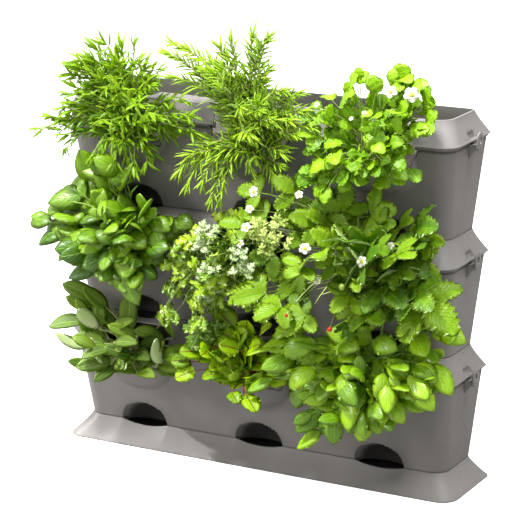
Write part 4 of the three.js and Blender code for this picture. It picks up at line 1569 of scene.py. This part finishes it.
trimLook = dict(
    stray=0.1, leafBends=(0.6, 1.0, 1.4), bends=8, stemThick=0.0007, stemThin=0.0004,
    rise=1.0, facing=Vector((0.30, -0.80, 0.5)), setBack=0.002,
)
petalLook = dict(
    width=1.05, outline=leafOutline([0.2, 0.8, 1, 0.9, 0.55]) + [(1.02, 0, 0)], petiole=0.0,
    tilt=0.35, arch=0.4, dome=0.1, thickness=0.03, columns=2, petals=5,
)
heartLook = dict(rows=6, columns=10, power=1.0, radius=0.17, low=-0.02, high=0.16)
berryLook = dict(rows=8, columns=10, power=0.8, radius=0.42, low=-0.5, high=0.6)
budLook = dict(rows=8, columns=10, power=0.9, radius=0.3, low=-0.7, high=0.9)
petalWhite = makeStem("petalWhite", (196, 200, 172), (216, 218, 198), 0.5)
blossomHeart = makeStem("blossomHeart", (150, 160, 30), (190, 190, 60))
berryRed = makeStem("berryRed", (150, 26, 14), (190, 50, 24), 0.3)
berryGreen = makeStem("berryGreen", (110, 140, 40), (150, 170, 70), 0.4)
paleBud = makeStem("paleBud", (196, 206, 120), (214, 220, 160), 0.5)
paleStem = makeStem("paleStem", (92, 122, 36), (120, 146, 60))


def addTrim(name, look, shape, blade, material, places, size, seed, stemmed=True):
    rng = random.Random(seed)
    look = dict(plantDefaults, **look) | trimLook
    store = emptyStore()
    root, spots, scales = placed(look, places)
    for spot, scale in zip(spots, scales):
        face = look["facing"] + Vector((rng.uniform(-0.4, 0.4), 0, rng.uniform(-0.3, 0.3)))
        if stemmed:
            start = root + Vector((rng.uniform(-0.015, 0.015), 0, 0))
            stemTo(store, start, spot - face.normalized() * look["setBack"], look)
        side = face.cross(Vector((0, 0, 1)))
        along = side.cross(face) + side * rng.uniform(-1, 1)
        addLeaf(store, spot, along, face, size * scale, rng.uniform(0.3, 0.9), rng.randrange(3))
    plantPiece(name, store, look, shape, blade, material, paleStem, seed)


def addBlossoms(name, look, places, size, seed):
    addTrim(f"{name}.petals", look, blossomShape, petalLook, petalWhite, places, size, seed)
    addTrim(f"{name}.hearts", look, domeShape, heartLook, blossomHeart, places, size, seed, False)


def clusters(centres, around):
    return [(x + dx, y, z + dz, size) for x, y, z in centres for dx, dz, size in around]


# The strawberry's blossoms and berries, and the round leaf plant's few pale blossoms
addBlossoms("strawberry", strawberry, (
    (-150, -150, 245), (-155, -155, 220, 0.8), (-155, -165, 195), (-165, -165, 170, 0.8),
    (-45, -195, 185, 1.1), (40, -188, 175), (-25, -195, 140, 0.6), (70, -160, 195, 0.7),
    (-75, -155, 250, 0.7),
), 0.0165, 31)
redBerries = ((-71, -203, 86, 0.6), (-10, -188, 70, 0.75))
greenBerries = ((10, -190, 135, 1.1), (-60, -185, 160, 0.6))
addTrim("strawberry.berries", strawberry, domeShape, berryLook, berryRed, redBerries, 0.011, 33)
addTrim("strawberry.greenBerries", strawberry, domeShape, berryLook, berryGreen, greenBerries, 0.010, 34)
addBlossoms("roundLeaf", roundLeaf, (
    (54, -130, 228, 1.1), (84, -125, 226, 1.2), (35, -172, 205, 0.4), (15, -172, 195, 0.4),
    (-60, -130, 200, 0.5),
), 0.018, 35)

# Parsley's pale young leaves, its feathery yellow-green heads and two buds at its left
paleLeaf = makeLeaf("paleParsley", dict(parsley["surface"], deep=(120, 150, 92), bright=(186, 206, 160)))
palePlaces = clusters((
    (-28, -158, 150), (-14, -160, 112), (34, -172, 146), (-22, -160, 174), (40, -170, 126), (-20, -158, 78),
    (-34, -155, 104),
), ((0, 0, 1.0), (9, 5, 0.8), (-8, 7, 0.7), (4, -9, 0.9), (-9, -6, 0.8)))
addTrim("parsley.paleLeaves", parsley, threesShape, parsley["blade"], paleLeaf, palePlaces, 0.022, 36)
headLeaf = makeLeaf("featherParsley", dict(parsley["surface"], deep=(112, 132, 44), bright=(178, 196, 100)))
headBlade = dict(parsley["blade"], width=0.6)
headPlaces = clusters((
    (74, -172, 195), (90, -176, 180), (102, -172, 203), (84, -172, 160), (108, -176, 178), (66, -168, 178),
), ((0, 0, 1.0), (6, 4, 0.8), (-5, 5, 0.8), (3, -6, 0.9), (-6, -4, 0.8), (0, 8, 0.7)))
addTrim("parsley.feathers", parsley, threesShape, headBlade, headLeaf, headPlaces, 0.019, 37)
budPlaces = ((-94, -168, 50), (-88, -166, 58, 0.6))
addTrim("parsley.buds", parsley, domeShape, budLook, paleBud, budPlaces, 0.009, 38)

# Sage: long matte grey-green ovals with pale undersides
sage = dict(
    plant="sage", pocket=-1, tier=0, seed=17, fill=46, pull=(0.55, 1.0), flips=0.2,
    leafSize=0.064, hold=0.8, droop=0.15, tumble=0.3, stemThick=0.0020, stemThin=0.0014,
    blade=dict(
        width=0.47, outline=leafOutline([0.35, 0.7, 0.92, 1, 1, 0.94, 0.78, 0.5, 0]), petiole=0.1,
        fold=0.28, thickness=0.014,
    ),
    surface=dict(
        deep=(56, 78, 7), bright=(84, 108, 12), vein=(136, 162, 84), under=(192, 208, 152),
        stalk=(150, 170, 110), midrib=0.03, veins=7.0, slant=0.4, sideStrength=0.4,
        veinShare=0.4, pucker=0.4, bump=0.4, roughness=0.62,
    ),
    stem=((128, 140, 84), (160, 166, 116)),
)
growPlant("sage", sage, (
    (-106, -100, 215), (-56, -105, 226), (-125, -110, 166), (-97, -130, 152), (-74, -140, 110),
    (-26, -145, 97), (-40, -150, 134), (51, -165, 167), (67, -150, 118), (94, -150, 161), (86, -120, 214),
    (102, -105, 189), (131, -110, 155), (13, -130, 222), (-57, -150, 155), (13, -160, 184),
    (128, -120, 134),
))

# Sorrel: yellow-green ovals with dark red ribs and stalks
sorrel = dict(
    plant="sorrel", pocket=0, tier=0, seed=18, fill=56, pull=(0.45, 1.02),
    leafSize=0.040, droop=0.2, tumble=0.3, stemThick=0.0011, stemThin=0.0007,
    blade=dict(
        width=0.86, outline=leafOutline([0.4, 0.78, 0.97, 1, 0.97, 0.84, 0.6, 0]), petiole=0.08,
        arch=0.5, fold=0.3, wave=0.05, thickness=0.014,
    ),
    surface=dict(
        deep=(94, 132, 4), bright=(136, 174, 8), vein=(96, 40, 30), under=(160, 196, 60),
        stalk=(120, 46, 50), midrib=0.05, veins=5.0, slant=0.5, sideStrength=0.35,
        veinShare=0.75, pucker=0.5, bump=0.4, roughness=0.4,
    ),
    stem=((112, 40, 46), (140, 70, 60)),
)
growPlant("sorrel", sorrel, (
    (-76, -135, 123), (-87, -130, 143), (-66, -120, 167), (-55, -110, 181), (-26, -100, 206),
    (8, -100, 195), (42, -100, 200), (-32, -150, 172), (5, -140, 183), (41, -130, 185), (72, -110, 184),
    (18, -150, 110), (52, -160, 103), (94, -120, 152), (4, -140, 144), (41, -130, 139),
))

# Broad basil: glossy puckered leaves, larger and folded
broadBasil = dict(
    plant="broad_basil", pocket=1, tier=0, seed=19, fill=165, pull=(0.5, 1.04),
    leafSize=0.061, least=0.5, fillScale=1.0, droop=0.65, tumble=0.5,
    stemThick=0.0018, stemThin=0.0011,
    blade=dict(
        width=0.64, outline=basilOutline, arch=1.0, tilt=0.5, dome=0.4, wave=0.05,
        thickness=0.014,
    ),
    surface=dict(
        deep=(89, 128, 2), bright=(132, 172, 11), vein=(156, 206, 70), under=(140, 190, 60),
        stalk=(130, 176, 70), midrib=0.035, veins=5.0, slant=0.55, sideStrength=0.6,
        veinShare=0.3, pucker=1.0, bump=0.6, roughness=0.36, shine=0.5,
    ),
    stem=((110, 150, 50), (140, 170, 70)),
)
growPlant("broadBasil", broadBasil, (
    (-134, -150, 179), (-112, -130, 215), (-80, -160, 205), (-66, -170, 165), (-135, -150, 126),
    (-72, -150, 90), (-69, -140, 56), (-23, -160, 101), (15, -190, 183), (-9, -110, 217), (18, -100, 233),
    (58, -150, 222), (86, -160, 193), (98, -120, 220), (129, -120, 232), (152, -120, 235), (142, -140, 178),
    (108, -160, 158), (68, -170, 148), (24, -160, 101), (62, -140, 114), (-55, -130, 185), (-28, -120, 194),
))
